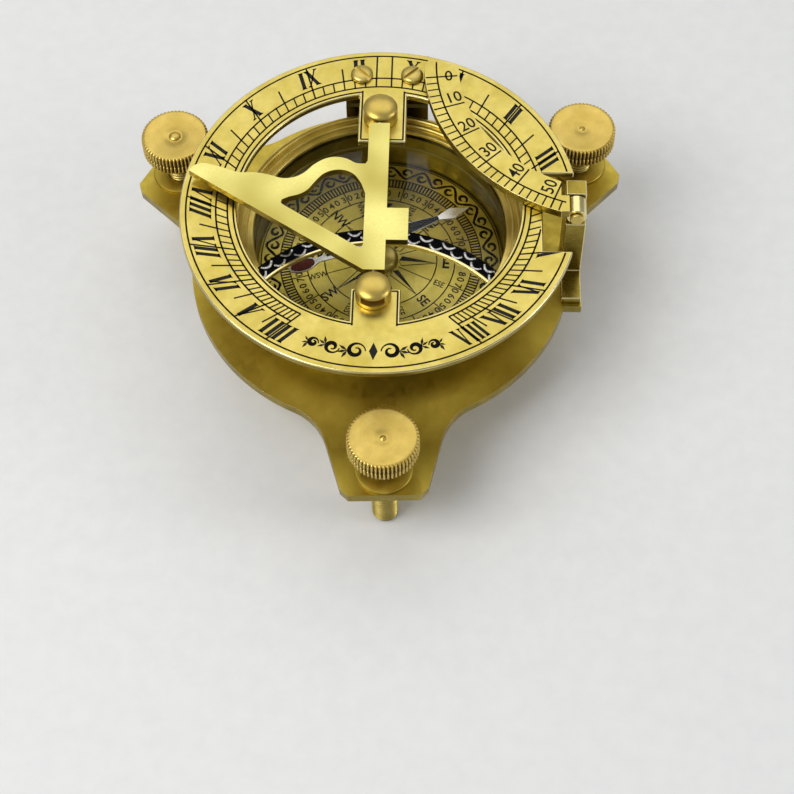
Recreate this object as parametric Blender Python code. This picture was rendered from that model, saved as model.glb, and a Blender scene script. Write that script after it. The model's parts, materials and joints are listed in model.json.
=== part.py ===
"""Brass sundial compass: a levelling base plate, a dry-card compass, and a folding hour ring with gnomon.

Dimensions are in millimetres and are turned into metres as vertices are made.
+Z is up, +Y is north (XII on the hour ring) and +X is east. The origin is the
centre of the base plate's underside, on the compass axis.
"""

import math

import bmesh
import bpy
from mathutils import Matrix, Vector

MM = 0.001
GAP = 0.1  # between pieces that touch
RUN = 0.1  # radial clearance of a turning or sliding fit

# Base plate: a disc with three lobes, one for each levelling screw
PLATE_R = 37.4
PLATE_T = 2.0
LOBE_TURN = 2.5  # degrees from the hinge line to the lobes' pattern
LOBE_END = 52.7
LOBE_END_HALF = 6.7
LOBE_SHOULDER = (51.2, 8.2)
LOBE_TAPER = 15.0
LOBE_FILLET = 12.0
PAD_X = 39.5  # the pad under the latitude arc's bracket
PAD_SOUTH = -9.9

# Levelling screws
SCREW_CIRCLE = 47.0
SCREW_R = 2.5
SCREW_TIP = -15.3
NECK_FOOT = 5.8
KNOB_TOP = 13.8
KNOB_R = 6.7
SPIGOT_R = 1.2
SPIGOT_TOP = 9.2
BUSH_HOLE_R = 3.7
FLANGE_R = 5.5
FLANGE_T = 0.5

# Compass
CARD_R = 24.0
CARD_T = 0.7
BOWL_IN = 24.3
BOWL_OUT = 26.9
BOWL_TOP = 11.1
GLASS_R = 25.8
GLASS_T = 1.0
BEZEL_R = 28.0
BEZEL_LIP = 24.5
BEZEL_TOP = 14.3
NEEDLE_Z = 9.6
NEEDLE_T = 0.35
NEEDLE_HALF = 19.0
NEEDLE_HEADING = 24.5  # degrees north of east
BOSS_R = 3.5
PIN_TIP = 9.75

# Hour ring
RING_TOP = 21.0
RING_T = 1.4
RING_R = 38.0
RING_IN = 27.1
TAB_HALF = 4.65
NORTH_TAB_END = 15.0
SOUTH_TAB_END = -19.5
NOTCH_X = 31.0
NOTCH_SOUTH = -10.3
NOTCH_NORTH = 8.0
RING_FLOOR = RING_TOP - RING_T

# Hour ring's hinge, on the north side
HINGE_Y = 31.4
HINGE_Z = 16.2
HINGE_X = 0.55
HINGE_WIDTH = 16.4
KNUCKLE_R = 2.0
KNUCKLE_BARREL = 6.4
HINGE_PIN_R = 0.9
LEAF_T = 1.2
LEAF_TOP = RING_FLOOR - GAP
LEAF_SOUTH = 28.9
LEAF_NORTH = 38.3
LEAF_SCREW_SPREAD = 9.95
LEAF_SCREW_Y = 31.7
LEAF_SCREW_R = 1.0
LEAF_HEAD_R = 2.2
LEAF_HEAD_T = 1.25

# Gnomon, its posts and the strip that stops it upright
PIVOT_X = -0.4
PIVOT_Z = RING_TOP + 2.2
GNOMON_T = 1.5
BAR_HALF = 2.0
BAR_END = 17.3
POST_Y = 21.1
POST_R = 3.35
POST_WALL = 2.9
POST_DOME = 1.0
RIVET_R = 1.6
TRUNNION_R = 0.55
STRIP_CENTRE_Y = -34.8
STRIP_IN = 28.9
STRIP_OUT = 32.1
STRIP_TOP = RING_TOP - 4.4
STRIP_T = 1.0
STRIP_SWEEP = 53.0  # degrees each side of north

# Latitude arc, folded down over the ring, and its bracket
ARC_CENTRE = (46.0, 33.6)
ARC_IN = 31.3
ARC_OUT = 38.1
ARC_FLOOR = RING_TOP + GAP + 0.15
ARC_T = 1.8
ARC_END_R = 35.5
ARC_CORNER = (2.4, 1.6)
ARC_ROOT_X = 34.5
ARC_PIN_X = 37.4
ARC_KNUCKLE_R = 1.9
ARC_PIN_Z = ARC_FLOOR + ARC_T - ARC_KNUCKLE_R
ARC_PIN_R = 0.8
ARC_KNUCKLE = (-2.6, 1.2)
EAR = (1.5, 4.9)
POST_HALF_X = 1.95
SADDLE_Z = 18.9
FOOT_SOUTH = -9.3
FOOT_T = 1.8

# Small screws that hold the fittings down, their heads sunk in the plate's underside
SMALL_R = 0.7
SMALL_HEAD_R = 1.7
SMALL_HEAD_FLOOR = 0.1
SMALL_SEAT = 1.0
SMALL_TIP = PLATE_T + 4.0
SMALL_HOLE_TOP = SMALL_TIP + 0.5

LARGE_STEPS = 60
MEDIUM_STEPS = 24
SMALL_STEPS = 12
BORE_STEPS = 16


def clear_scene():
    for obj in list(bpy.data.objects):
        bpy.data.objects.remove(obj, do_unlink=True)


def make_material(name, colour, metallic, roughness, alpha=1.0):
    material = bpy.data.materials.new(name)
    material.use_nodes = True
    shader = material.node_tree.nodes["Principled BSDF"]
    shader.inputs["Base Color"].default_value = (*colour, 1.0)
    shader.inputs["Metallic"].default_value = metallic
    shader.inputs["Roughness"].default_value = roughness
    shader.inputs["Alpha"].default_value = alpha
    return material


def finish_mesh(name, bm, material, origin=(0.0, 0.0, 0.0)):
    """Turns a bmesh in millimetres into an object in metres, with its origin where asked."""
    bmesh.ops.remove_doubles(bm, verts=bm.verts, dist=0.001)
    bmesh.ops.recalc_face_normals(bm, faces=bm.faces)
    bmesh.ops.translate(bm, verts=bm.verts, vec=-Vector(origin))
    bmesh.ops.scale(bm, verts=bm.verts, vec=(MM, MM, MM))
    mesh = bpy.data.meshes.new(name)
    bm.to_mesh(mesh)
    bm.free()
    mesh.shade_smooth()
    mesh.set_sharp_from_angle(angle=math.radians(35))
    mesh.materials.append(material)
    obj = bpy.data.objects.new(name, mesh)
    obj.location = Vector(origin) * MM
    bpy.context.scene.collection.objects.link(obj)
    return obj


def arc(centre, radius, start, end, steps):
    """Points on a circle from start to end, in degrees, both ends included."""
    points = []
    for i in range(steps + 1):
        angle = math.radians(start + (end - start) * i / steps)
        points.append((centre[0] + radius * math.cos(angle), centre[1] + radius * math.sin(angle)))
    return points


def circle(centre, radius, steps):
    return arc(centre, radius, 0.0, 360.0, steps)[:-1]


def angle_to(point, centre=(0.0, 0.0)):
    return math.degrees(math.atan2(point[1] - centre[1], point[0] - centre[0]))


def turn(point, degrees):
    a = math.radians(degrees)
    return (
        point[0] * math.cos(a) - point[1] * math.sin(a),
        point[0] * math.sin(a) + point[1] * math.cos(a),
    )


def smooth(points, steps):
    """A Catmull-Rom curve through an open list of points."""
    curve = []
    for i in range(len(points) - 1):
        p = [Vector(points[max(i - 1, 0)]), Vector(points[i])]
        p += [Vector(points[i + 1]), Vector(points[min(i + 2, len(points) - 1)])]
        for k in range(steps):
            t = k / steps
            a = 2 * p[1] + (p[2] - p[0]) * t
            b = (2 * p[0] - 5 * p[1] + 4 * p[2] - p[3]) * t * t
            c = (3 * p[1] - p[0] - 3 * p[2] + p[3]) * t**3
            curve.append(tuple((a + b + c) / 2))
    curve.append(tuple(points[-1]))
    return curve


# Which world axes an outline's two axes and its thickness run along
FLAT = Matrix.Identity(4)
FACING_EAST = Matrix(((0, 0, 1, 0), (1, 0, 0, 0), (0, 1, 0, 0), (0, 0, 0, 1)))


def prism(name, loops, low, high, material, plane=FLAT, origin=(0.0, 0.0, 0.0)):
    """A flat outline, with any holes after it, thickened from low to high."""
    bm = bmesh.new()
    for loop in loops:
        verts = [bm.verts.new((x, y, low)) for x, y in loop]
        for one, other in zip(verts, verts[1:] + verts[:1]):
            bm.edges.new((one, other))
    bmesh.ops.triangle_fill(bm, use_beauty=True, edges=bm.edges)
    grown = bmesh.ops.extrude_face_region(bm, geom=bm.faces)
    lifted = [v for v in grown["geom"] if isinstance(v, bmesh.types.BMVert)]
    bmesh.ops.translate(bm, verts=lifted, vec=(0, 0, high - low))
    bmesh.ops.transform(bm, verts=bm.verts, matrix=plane)
    return finish_mesh(name, bm, material, origin)


def turned(name, profile, material, steps, at=(0.0, 0.0), origin=None):
    """A (radius, height) profile spun about the upright axis through at."""
    bm = bmesh.new()
    verts = [bm.verts.new((at[0] + r, at[1], z)) for r, z in profile]
    on_axis = profile[0][0] == 0.0 and profile[-1][0] == 0.0
    ends = verts[1:] if on_axis else verts[1:] + verts[:1]
    edges = [bm.edges.new(pair) for pair in zip(verts, ends)]
    bmesh.ops.spin(
        bm,
        geom=verts + edges,
        cent=(at[0], at[1], 0),
        axis=(0, 0, 1),
        angle=2 * math.pi,
        steps=steps,
        use_merge=True,
    )
    return finish_mesh(name, bm, material, origin or (0.0, 0.0, 0.0))


def rod(name, start, end, radius, material, steps=SMALL_STEPS, origin=(0.0, 0.0, 0.0)):
    """A plain round rod between two points."""
    start, end = Vector(start), Vector(end)
    way = end - start
    bm = bmesh.new()
    place = Matrix.Translation((start + end) / 2) @ way.to_track_quat("Z", "Y").to_matrix().to_4x4()
    bmesh.ops.create_cone(
        bm,
        cap_ends=True,
        segments=steps,
        radius1=radius,
        radius2=radius,
        depth=way.length,
        matrix=place,
    )
    return finish_mesh(name, bm, material, origin)


def cut(obj, cutter):
    """Takes the cutter's shape out of obj, and hides the cutter."""
    cutter.hide_render = True
    cutter.display_type = "WIRE"
    modifier = obj.modifiers.new("cut_" + cutter.name, "BOOLEAN")
    modifier.operation = "DIFFERENCE"
    modifier.solver = "EXACT"
    modifier.object = cutter


def drill(obj, start, end, radius, steps=SMALL_STEPS):
    cut(obj, rod("bore_of_" + obj.name, start, end, radius, obj.data.materials[0], steps))


def mill(obj, low, high):
    """Takes a box out of obj."""
    outline = [(low[0], low[1]), (high[0], low[1]), (high[0], high[1]), (low[0], high[1])]
    cut(obj, prism("slot_of_" + obj.name, [outline], low[2], high[2], obj.data.materials[0]))


def lobe_angles():
    return [-90.0 + LOBE_TURN + 120.0 * k for k in range(3)]


def screw_places():
    """(name, place) of each levelling screw."""
    names = ("front", "rear_right", "rear_left")
    return [(name, turn((SCREW_CIRCLE, 0.0), angle)) for name, angle in zip(names, lobe_angles())]


def lobe_fillet():
    """The centre of the fillet between the disc and a lobe's left side, in the lobe's own axes."""
    taper = math.radians(LOBE_TAPER)
    along = Vector((-math.cos(taper), math.sin(taper)))
    across = Vector((math.sin(taper), math.cos(taper)))
    start = Vector(LOBE_SHOULDER) + across * LOBE_FILLET
    half = start.dot(along)
    reach = PLATE_R + LOBE_FILLET
    travel = -half - math.sqrt(half * half - start.length_squared + reach * reach)
    return start + along * travel


def plate_outline():
    """Anticlockwise from the front lobe. The pad meets the rear right lobe's fillet."""
    centre = lobe_fillet()
    from_disc = angle_to(centre) - 180.0
    from_side = -90.0 - LOBE_TAPER
    left = arc(centre, LOBE_FILLET, from_side, from_disc, 10)
    left = [LOBE_SHOULDER] + left
    half = [(LOBE_END, LOBE_END_HALF)] + left
    lobe = [(u, -v) for u, v in reversed(half)] + half
    outline = []
    angles = lobe_angles()
    for k, angle in enumerate(angles):
        here = [turn(p, angle) for p in lobe]
        if k == 1:
            here = [p for i, p in enumerate(here) if i > len(left) or p[0] > PAD_X]
            fillet_centre = turn((centre[0], -centre[1]), angle)
            rise = math.sqrt(LOBE_FILLET**2 - (PAD_X - fillet_centre[0]) ** 2)
            outline.append((PAD_X, fillet_centre[1] + rise))
        outline += here
        start = angle_to(here[-1])
        end = angle + 120.0 - angle_to(centre)
        if k == 0:
            end = math.degrees(math.asin(PAD_SOUTH / PLATE_R))
        end += 360.0 if end < start else 0.0
        outline += arc((0, 0), PLATE_R, start, end, 12)[1 : None if k == 0 else -1]
        if k == 0:
            outline.append((PAD_X, PAD_SOUTH))
    return outline


def bowl_screw_places():
    return [turn(((BOWL_IN + BOWL_OUT) / 2, 0.0), 30.0 + 120.0 * k) for k in range(3)]


def hinge_screw_places():
    return [(HINGE_X + side * 4.2, HINGE_Y - 0.2) for side in (-1, 1)]


def arc_screw_place():
    return (ARC_PIN_X, 1.2)


def fixing_places():
    """(name, place) of each small screw that comes up through the plate."""
    places = [(f"bowl_screw_{k + 1}", p) for k, p in enumerate(bowl_screw_places())]
    places += [(f"hinge_screw_{k + 1}", p) for k, p in enumerate(hinge_screw_places())]
    places.append(("arc_bracket_screw", arc_screw_place()))
    return places


def build_plate(brass):
    holes = [circle(p, BUSH_HOLE_R, MEDIUM_STEPS) for _, p in screw_places()]
    plate = prism("base_plate", [plate_outline()] + holes, 0.0, PLATE_T, brass)
    sunk = [
        (0.0, PLATE_T + 1.0),
        (SMALL_R + RUN, PLATE_T + 1.0),
        (SMALL_R + RUN, SMALL_SEAT),
        (SMALL_HEAD_R + RUN, SMALL_SEAT),
        (SMALL_HEAD_R + RUN, -1.0),
        (0.0, -1.0),
    ]
    for name, place in fixing_places():
        cut(plate, turned("hole_" + name, sunk, brass, BORE_STEPS, place))
    drill(plate, (0, 0, PLATE_T - 1.0), (0, 0, PLATE_T + 2.0), 1.3)


def build_levelling_screws(brass):
    floor = PLATE_T + GAP
    top = floor + FLANGE_T
    bush = [
        (SCREW_R + RUN, -3.2),
        (3.1, -3.2),
        (3.5, -0.4),
        (BUSH_HOLE_R - GAP, -0.4),
        (BUSH_HOLE_R - GAP, floor),
        (FLANGE_R, floor),
        (FLANGE_R, top - 0.15),
        (FLANGE_R - 0.15, top),
        (SCREW_R + RUN, top),
    ]
    stem = [
        (0.0, SPIGOT_TOP),
        (SPIGOT_R, SPIGOT_TOP),
        (SPIGOT_R, NECK_FOOT - GAP),
        (SCREW_R, NECK_FOOT - GAP),
        (SCREW_R, SCREW_TIP + 0.9),
        (SCREW_R - 0.8, SCREW_TIP),
        (0.0, SCREW_TIP),
    ]
    knob = [
        (0.0, KNOB_TOP - 0.1),
        (0.8, KNOB_TOP - 0.3),
        (1.5, KNOB_TOP - 0.5),
        (6.2, KNOB_TOP),
        (KNOB_R, KNOB_TOP - 0.4),
        (KNOB_R, KNOB_TOP - 2.0),
        (KNOB_R - 0.5, KNOB_TOP - 2.2),
        (KNOB_R, KNOB_TOP - 2.4),
        (KNOB_R, KNOB_TOP - 4.1),
        (KNOB_R - 0.4, KNOB_TOP - 4.4),
        (3.7, KNOB_TOP - 4.5),
        (3.0, NECK_FOOT),
        (SPIGOT_R + GAP, NECK_FOOT),
        (SPIGOT_R + GAP, SPIGOT_TOP + GAP),
        (0.0, SPIGOT_TOP + GAP),
    ]
    for name, place in screw_places():
        axis = (*place, PLATE_T)
        turned("bush_" + name, bush, brass["satin"], MEDIUM_STEPS, place)
        turned("screw_" + name, stem, brass["turned"], SMALL_STEPS, place, axis)
        turned("knob_" + name, knob, brass["turned"], MEDIUM_STEPS, place, axis)


def build_fixings(brass):
    """Cheese-head screws up through the plate into the bowl and the two brackets."""
    head = [
        (0.0, SMALL_TIP),
        (SMALL_R, SMALL_TIP),
        (SMALL_R, SMALL_SEAT - GAP),
        (SMALL_HEAD_R, SMALL_SEAT - GAP),
        (SMALL_HEAD_R, SMALL_HEAD_FLOOR + 0.2),
        (SMALL_HEAD_R - 0.2, SMALL_HEAD_FLOOR),
        (0.0, SMALL_HEAD_FLOOR),
    ]
    for name, place in fixing_places():
        turned(name, head, brass, BORE_STEPS, place)


def build_compass(brass, card_metal, glass):
    floor = PLATE_T + GAP
    wall = [(BOWL_IN, floor), (BOWL_OUT, floor), (BOWL_OUT, BOWL_TOP), (BOWL_IN, BOWL_TOP)]
    bowl = turned("compass_bowl", wall, brass["satin"], LARGE_STEPS)
    for x, y in bowl_screw_places():
        drill(bowl, (x, y, 0.0), (x, y, SMALL_HOLE_TOP), SMALL_R + RUN, BORE_STEPS)

    card_loops = [circle((0, 0), CARD_R, LARGE_STEPS), circle((0, 0), 1.3, SMALL_STEPS)]
    prism("compass_card", card_loops, floor, floor + CARD_T, card_metal)

    glass_floor = BOWL_TOP + GAP
    disc = circle((0, 0), GLASS_R, LARGE_STEPS)
    prism("compass_glass", [disc], glass_floor, glass_floor + GLASS_T, glass)

    lip = glass_floor + GLASS_T + GAP
    bezel = [
        (BEZEL_LIP, lip),
        (BOWL_OUT + 0.2, lip),
        (BOWL_OUT + 0.2, 8.6),
        (BEZEL_R, 8.6),
        (BEZEL_R, BEZEL_TOP - 0.5),
        (BEZEL_R - 0.5, BEZEL_TOP),
        (26.7, BEZEL_TOP),
        (26.7, BEZEL_TOP - 0.6),
        (25.6, BEZEL_TOP - 0.6),
        (25.6, BEZEL_TOP - 1.2),
        (BEZEL_LIP, BEZEL_TOP - 1.2),
    ]
    turned("compass_bezel", bezel, brass["turned"], LARGE_STEPS)

    seat = floor + CARD_T + GAP
    pivot = [
        (0.0, PIN_TIP),
        (0.35, PIN_TIP - 1.2),
        (0.6, seat + 1.2),
        (2.9, seat + 1.0),
        (BOSS_R, seat),
        (1.1, seat),
        (1.1, PLATE_T - 0.9),
        (0.0, PLATE_T - 0.9),
    ]
    turned("needle_pivot", pivot, brass["turned"], SMALL_STEPS)


def needle_outline():
    """An arrow head to the north and a round-ended tail, in the needle's own axes."""
    flank = [(NEEDLE_HALF, 0.0), (15.4, 1.35), (12.6, 0.5), (4.5, 1.5)]
    flank += [(-4.5, 1.5), (-12.9, 0.5)]
    tail = arc((-16.1, 0.0), 1.0, 40.0, 180.0, 9)
    flank += [(-16.1 + (x + 16.1) * 2.9, y * 1.45) for x, y in tail]
    return flank + [(x, -y) for x, y in reversed(flank[1:-1])]


def build_needle(steel, brass):
    origin = (0.0, 0.0, NEEDLE_Z)
    outline = [turn(p, NEEDLE_HEADING) for p in needle_outline()]
    hub = circle((0, 0), 1.2, SMALL_STEPS)
    prism("compass_needle", [outline, hub], NEEDLE_Z, NEEDLE_Z + NEEDLE_T, steel, origin=origin)
    seat = NEEDLE_Z + NEEDLE_T + GAP
    cap = [
        (0.0, seat + 0.9),
        (1.0, seat + 0.75),
        (1.9, seat + 0.3),
        (2.0, seat),
        (1.1, seat),
        (1.1, NEEDLE_Z - 0.5),
        (0.85, NEEDLE_Z - 0.5),
        (0.0, seat + 0.2),
    ]
    turned("needle_cap", cap, brass, SMALL_STEPS, origin=origin)


def ring_outlines():
    """The ring's outer edge with the notch for the latitude arc, and its opening with the two tabs."""
    south = math.degrees(math.asin(NOTCH_SOUTH / RING_R))
    north = math.degrees(math.asin(NOTCH_NORTH / RING_R))
    outer = arc((0, 0), RING_R, north, 360.0 + south, LARGE_STEPS)
    outer += [(NOTCH_X, NOTCH_SOUTH), (NOTCH_X, NOTCH_NORTH)]
    corner = math.degrees(math.asin(TAB_HALF / RING_IN))
    east = arc((0, 0), RING_IN, -90.0 + corner, 90.0 - corner, LARGE_STEPS // 2)
    west = arc((0, 0), RING_IN, 90.0 + corner, 270.0 - corner, LARGE_STEPS // 2)
    north_tab = [(TAB_HALF, NORTH_TAB_END), (-TAB_HALF, NORTH_TAB_END)]
    south_tab = [(-TAB_HALF, SOUTH_TAB_END), (TAB_HALF, SOUTH_TAB_END)]
    return outer, east + north_tab + west + south_tab


def leaf_screw_places():
    return [
        (name, (HINGE_X + side * LEAF_SCREW_SPREAD / 2, LEAF_SCREW_Y))
        for name, side in (("west", -1), ("east", 1))
    ]


def strip_post_places():
    middle = (STRIP_IN + STRIP_OUT) / 2
    places = []
    for name, side in (("west", 1), ("east", -1)):
        x, y = turn((0.0, middle), side * (STRIP_SWEEP - 3.0))
        places.append((name, (x, y + STRIP_CENTRE_Y)))
    return places


def hinge_origin():
    return (HINGE_X, HINGE_Y, HINGE_Z)


def build_ring(brass):
    outer, opening = ring_outlines()
    holes = [circle(p, LEAF_SCREW_R + RUN, SMALL_STEPS) for _, p in leaf_screw_places()]
    holes += [circle((PIVOT_X, side * POST_Y), RIVET_R + 2 * RUN, SMALL_STEPS) for side in (-1, 1)]
    loops = [outer, opening] + holes
    prism("hour_ring", loops, RING_FLOOR, RING_TOP, brass["bright"], origin=hinge_origin())


def build_hinge(brass, steel):
    """A block on the plate and a leaf under the ring, joined by a pin that runs east and west."""
    west = HINGE_X - HINGE_WIDTH / 2
    east = HINGE_X + HINGE_WIDTH / 2
    centre = (HINGE_Y, HINGE_Z)
    half = KNUCKLE_BARREL / 2

    floor = PLATE_T + GAP
    block = [(HINGE_Y - 2.5, floor), (HINGE_Y + KNUCKLE_R, floor)]
    block += arc(centre, KNUCKLE_R, 0.0, 180.0, SMALL_STEPS)
    block += [(HINGE_Y - KNUCKLE_R, HINGE_Z - 1.0), (HINGE_Y - 2.5, HINGE_Z - 1.5)]
    bracket = prism("hinge_block", [block], west, east, brass["satin"], FACING_EAST)
    reach = KNUCKLE_R + 0.3
    mill(
        bracket,
        (HINGE_X - half - 0.15, HINGE_Y - 4, HINGE_Z - reach),
        (HINGE_X + half + 0.15, HINGE_Y + 4, HINGE_Z + 4),
    )
    drill(bracket, (west - 1, *centre), (east + 1, *centre), HINGE_PIN_R + RUN)
    for x, y in hinge_screw_places():
        drill(bracket, (x, y, 0.0), (x, y, SMALL_HOLE_TOP), SMALL_R + RUN, BORE_STEPS)

    leaf_floor = LEAF_TOP - LEAF_T
    plate = [(LEAF_SOUTH, leaf_floor)]
    plate += [(HINGE_Y - KNUCKLE_R, leaf_floor)]
    plate += arc(centre, KNUCKLE_R, 180.0, 360.0, SMALL_STEPS)
    plate += [(HINGE_Y + KNUCKLE_R, leaf_floor), (LEAF_NORTH, leaf_floor)]
    plate += [(LEAF_NORTH, LEAF_TOP), (LEAF_SOUTH, LEAF_TOP)]
    leaf = prism("hinge_leaf", [plate], west, east, brass["satin"], FACING_EAST, hinge_origin())
    for low, high in ((west - 1, HINGE_X - half), (HINGE_X + half, east + 1)):
        mill(leaf, (low, HINGE_Y - 4, HINGE_Z - 4), (high, HINGE_Y + 4, leaf_floor))
    drill(leaf, (west - 1, *centre), (east + 1, *centre), HINGE_PIN_R + RUN)
    for _, (x, y) in leaf_screw_places():
        drill(leaf, (x, y, leaf_floor - 0.5), (x, y, LEAF_TOP + 1), LEAF_SCREW_R + RUN, BORE_STEPS)

    rod("hinge_pin", (west - 0.2, *centre), (east + 0.2, *centre), HINGE_PIN_R, steel)


def build_leaf_screws(brass):
    seat = RING_TOP + GAP
    profile = [
        (0.0, seat + LEAF_HEAD_T),
        (1.0, seat + LEAF_HEAD_T - 0.1),
        (1.8, seat + LEAF_HEAD_T - 0.4),
        (LEAF_HEAD_R, seat + 0.35),
        (LEAF_HEAD_R, seat),
        (LEAF_SCREW_R, seat),
        (LEAF_SCREW_R, LEAF_TOP - LEAF_T + 0.2),
        (0.0, LEAF_TOP - LEAF_T + 0.2),
    ]
    for (name, place), slot_angle in zip(leaf_screw_places(), (-43.0, 43.0)):
        screw = turned("leaf_screw_" + name, profile, brass, SMALL_STEPS, place, hinge_origin())
        corners = [(-3, -0.3), (3, -0.3), (3, 0.3), (-3, 0.3)]
        corners = [turn(c, slot_angle) for c in corners]
        outline = [(place[0] + x, place[1] + y) for x, y in corners]
        cut(screw, prism("slot_" + name, [outline], seat + 0.55, seat + 3, brass))


def build_posts(brass):
    """Domed posts, riveted through the tabs, each with a bore and a window for the gnomon's trunnion."""
    seat = RING_TOP + GAP
    wall = seat + POST_WALL
    profile = [
        (0.0, wall + POST_DOME),
        (1.3, wall + POST_DOME * 0.93),
        (2.5, wall + POST_DOME * 0.65),
        (3.15, wall + POST_DOME * 0.25),
        (POST_R, wall - 0.2),
        (POST_R, seat),
        (RIVET_R, seat),
        (RIVET_R, RING_FLOOR - 0.6),
        (0.0, RING_FLOOR - 0.6),
    ]
    for name, side in (("north", 1), ("south", -1)):
        place = (PIVOT_X, side * POST_Y)
        post = turned("post_" + name, profile, brass, MEDIUM_STEPS, place, hinge_origin())
        start = (PIVOT_X, side * (POST_Y - POST_R - 1), PIVOT_Z)
        end = (PIVOT_X, side * (POST_Y + 1.2), PIVOT_Z)
        drill(post, start, end, TRUNNION_R + RUN, BORE_STEPS)
        near, far = sorted((side * (POST_Y + 1.0), side * (POST_Y + POST_R + 1)))
        mill(post, (PIVOT_X - 2.2, near, PIVOT_Z - 1.0), (PIVOT_X + 2.2, far, PIVOT_Z + 0.8))


def gnomon_outlines():
    """The folded gnomon: bar, stop tab, pointed arm and curved arm round one window."""
    east = PIVOT_X + BAR_HALF
    west = PIVOT_X - BAR_HALF
    bar = [(west, -BAR_END), (east, -BAR_END), (east, -10.5), (5.7, -10.5), (5.7, -3.1)]
    bar += [(east, -3.1), (east, BAR_END), (west, BAR_END), (west, 8.0)]
    crest = [(west - 0.4, 7.3), (-4.6, 7.4), (-6.4, 8.4), (-8.6, 8.8), (-10.6, 8.3), (-12.6, 6.9)]
    crest += [(-14.2, 5.1), (-16.0, 3.9), (-18.4, 3.5), (-21.5, 4.4), (-24.2, 4.8), (-27.0, 4.8)]
    crest += [(-30.5, 6.0), (-33.5, 6.8), (-35.4, 6.3), (-36.4, 5.0)]
    window = [(-3.4, 2.5), (-4.8, 4.6), (-6.6, 5.6), (-8.8, 5.6), (-10.8, 4.6), (-12.3, 2.7)]
    window += [(-13.5, 0.9), (-15.0, -0.2), (-17.0, -0.9), (-18.3, -1.6)]
    window = smooth(window, 3)
    window += [(-18.4, -2.3), (-17.9, -2.8), (-3.6, -12.2), (-2.9, -12.3), (-2.6, -11.6)]
    window += [(-2.6, 0.2)]
    return bar + smooth(crest, 3), window


def build_gnomon(brass):
    origin = (PIVOT_X, 0.0, PIVOT_Z)
    half = GNOMON_T / 2
    outlines = gnomon_outlines()
    gnomon = prism("gnomon", outlines, PIVOT_Z - half, PIVOT_Z + half, brass["polished"], origin=origin)
    for name, side in (("north", 1), ("south", -1)):
        inner = (PIVOT_X, side * (BAR_END - 3.0), PIVOT_Z)
        outer = (PIVOT_X, side * (POST_Y + 0.9), PIVOT_Z)
        mouth = (PIVOT_X, side * (BAR_END + 1.0), PIVOT_Z)
        drill(gnomon, (inner[0], inner[1] - side * GAP, inner[2]), mouth, TRUNNION_R + 0.07)
        rod("trunnion_" + name, inner, outer, TRUNNION_R, brass["turned"], SMALL_STEPS, origin)


def build_stop_strip(enamelled, brass):
    """A thin curved strip hung under the ring: the gnomon's tab meets it when the gnomon is upright."""
    centre = (0.0, STRIP_CENTRE_Y)
    start, end = 90.0 - STRIP_SWEEP, 90.0 + STRIP_SWEEP
    outline = arc(centre, STRIP_OUT, start, end, 32) + arc(centre, STRIP_IN, end, start, 32)
    holes = [circle(place, 0.9, BORE_STEPS) for _, place in strip_post_places()]
    floor = STRIP_TOP - STRIP_T
    prism("stop_strip", [outline] + holes, floor, STRIP_TOP, enamelled, origin=hinge_origin())
    profile = [
        (0.0, RING_FLOOR - GAP),
        (1.4, RING_FLOOR - GAP),
        (1.4, STRIP_TOP + GAP),
        (0.7, STRIP_TOP + GAP),
        (0.7, floor - GAP),
        (1.1, floor - GAP),
        (1.0, floor - 0.5),
        (0.0, floor - 0.5),
    ]
    for name, place in strip_post_places():
        turned("strip_post_" + name, profile, brass, BORE_STEPS, place, hinge_origin())


def build_latitude_arc(brass):
    origin = (ARC_PIN_X, 0.0, ARC_PIN_Z)
    outer_start = angle_to((ARC_ROOT_X, ARC_CENTRE[1] - chord(ARC_OUT)), ARC_CENTRE)
    inner_start = angle_to((ARC_ROOT_X, ARC_CENTRE[1] - chord(ARC_IN)), ARC_CENTRE)
    outer_tip = arc_tip(ARC_OUT)
    inner_tip = arc_tip(ARC_IN)
    outer_end = angle_to(outer_tip, ARC_CENTRE) % 360.0 - 360.0 + ARC_CORNER[0]
    inner_end = angle_to(inner_tip, ARC_CENTRE) % 360.0 - 360.0
    low, high = ARC_KNUCKLE
    top = ARC_FLOOR + ARC_T
    outline = arc(ARC_CENTRE, ARC_OUT, outer_start, outer_end, 32)
    outline += arc((0.0, 0.0), ARC_END_R, angle_to(outer_tip) - ARC_CORNER[1], angle_to(inner_tip), 6)[:-1]
    outline += arc(ARC_CENTRE, ARC_IN, inner_end, inner_start, 32)
    outline += [(ARC_ROOT_X, high), (ARC_PIN_X, high), (ARC_PIN_X, low), (ARC_ROOT_X, low)]
    plate = prism("latitude_arc", [outline], ARC_FLOOR, top, brass["bright"], origin=origin)
    barrel = rod(
        "arc_barrel",
        (ARC_PIN_X, low + 0.02, ARC_PIN_Z),
        (ARC_PIN_X, high - 0.02, ARC_PIN_Z),
        ARC_KNUCKLE_R,
        brass["bright"],
        SMALL_STEPS,
    )
    barrel.hide_render = True
    barrel.display_type = "WIRE"
    joined = plate.modifiers.new("barrel", "BOOLEAN")
    joined.operation = "UNION"
    joined.solver = "EXACT"
    joined.object = barrel
    drill(plate, (ARC_PIN_X, low - 1, ARC_PIN_Z), (ARC_PIN_X, high + 1, ARC_PIN_Z), ARC_PIN_R + RUN)


def arc_tip(radius):
    """Where a circle about the arc's centre meets, in the north, the circle that trims the arc's end."""
    apart = math.hypot(*ARC_CENTRE)
    along = (ARC_END_R**2 - radius**2 + apart**2) / (2 * apart)
    aside = math.sqrt(ARC_END_R**2 - along**2)
    east, north = ARC_CENTRE[0] / apart, ARC_CENTRE[1] / apart
    return (along * east - aside * north, along * north + aside * east)


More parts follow.
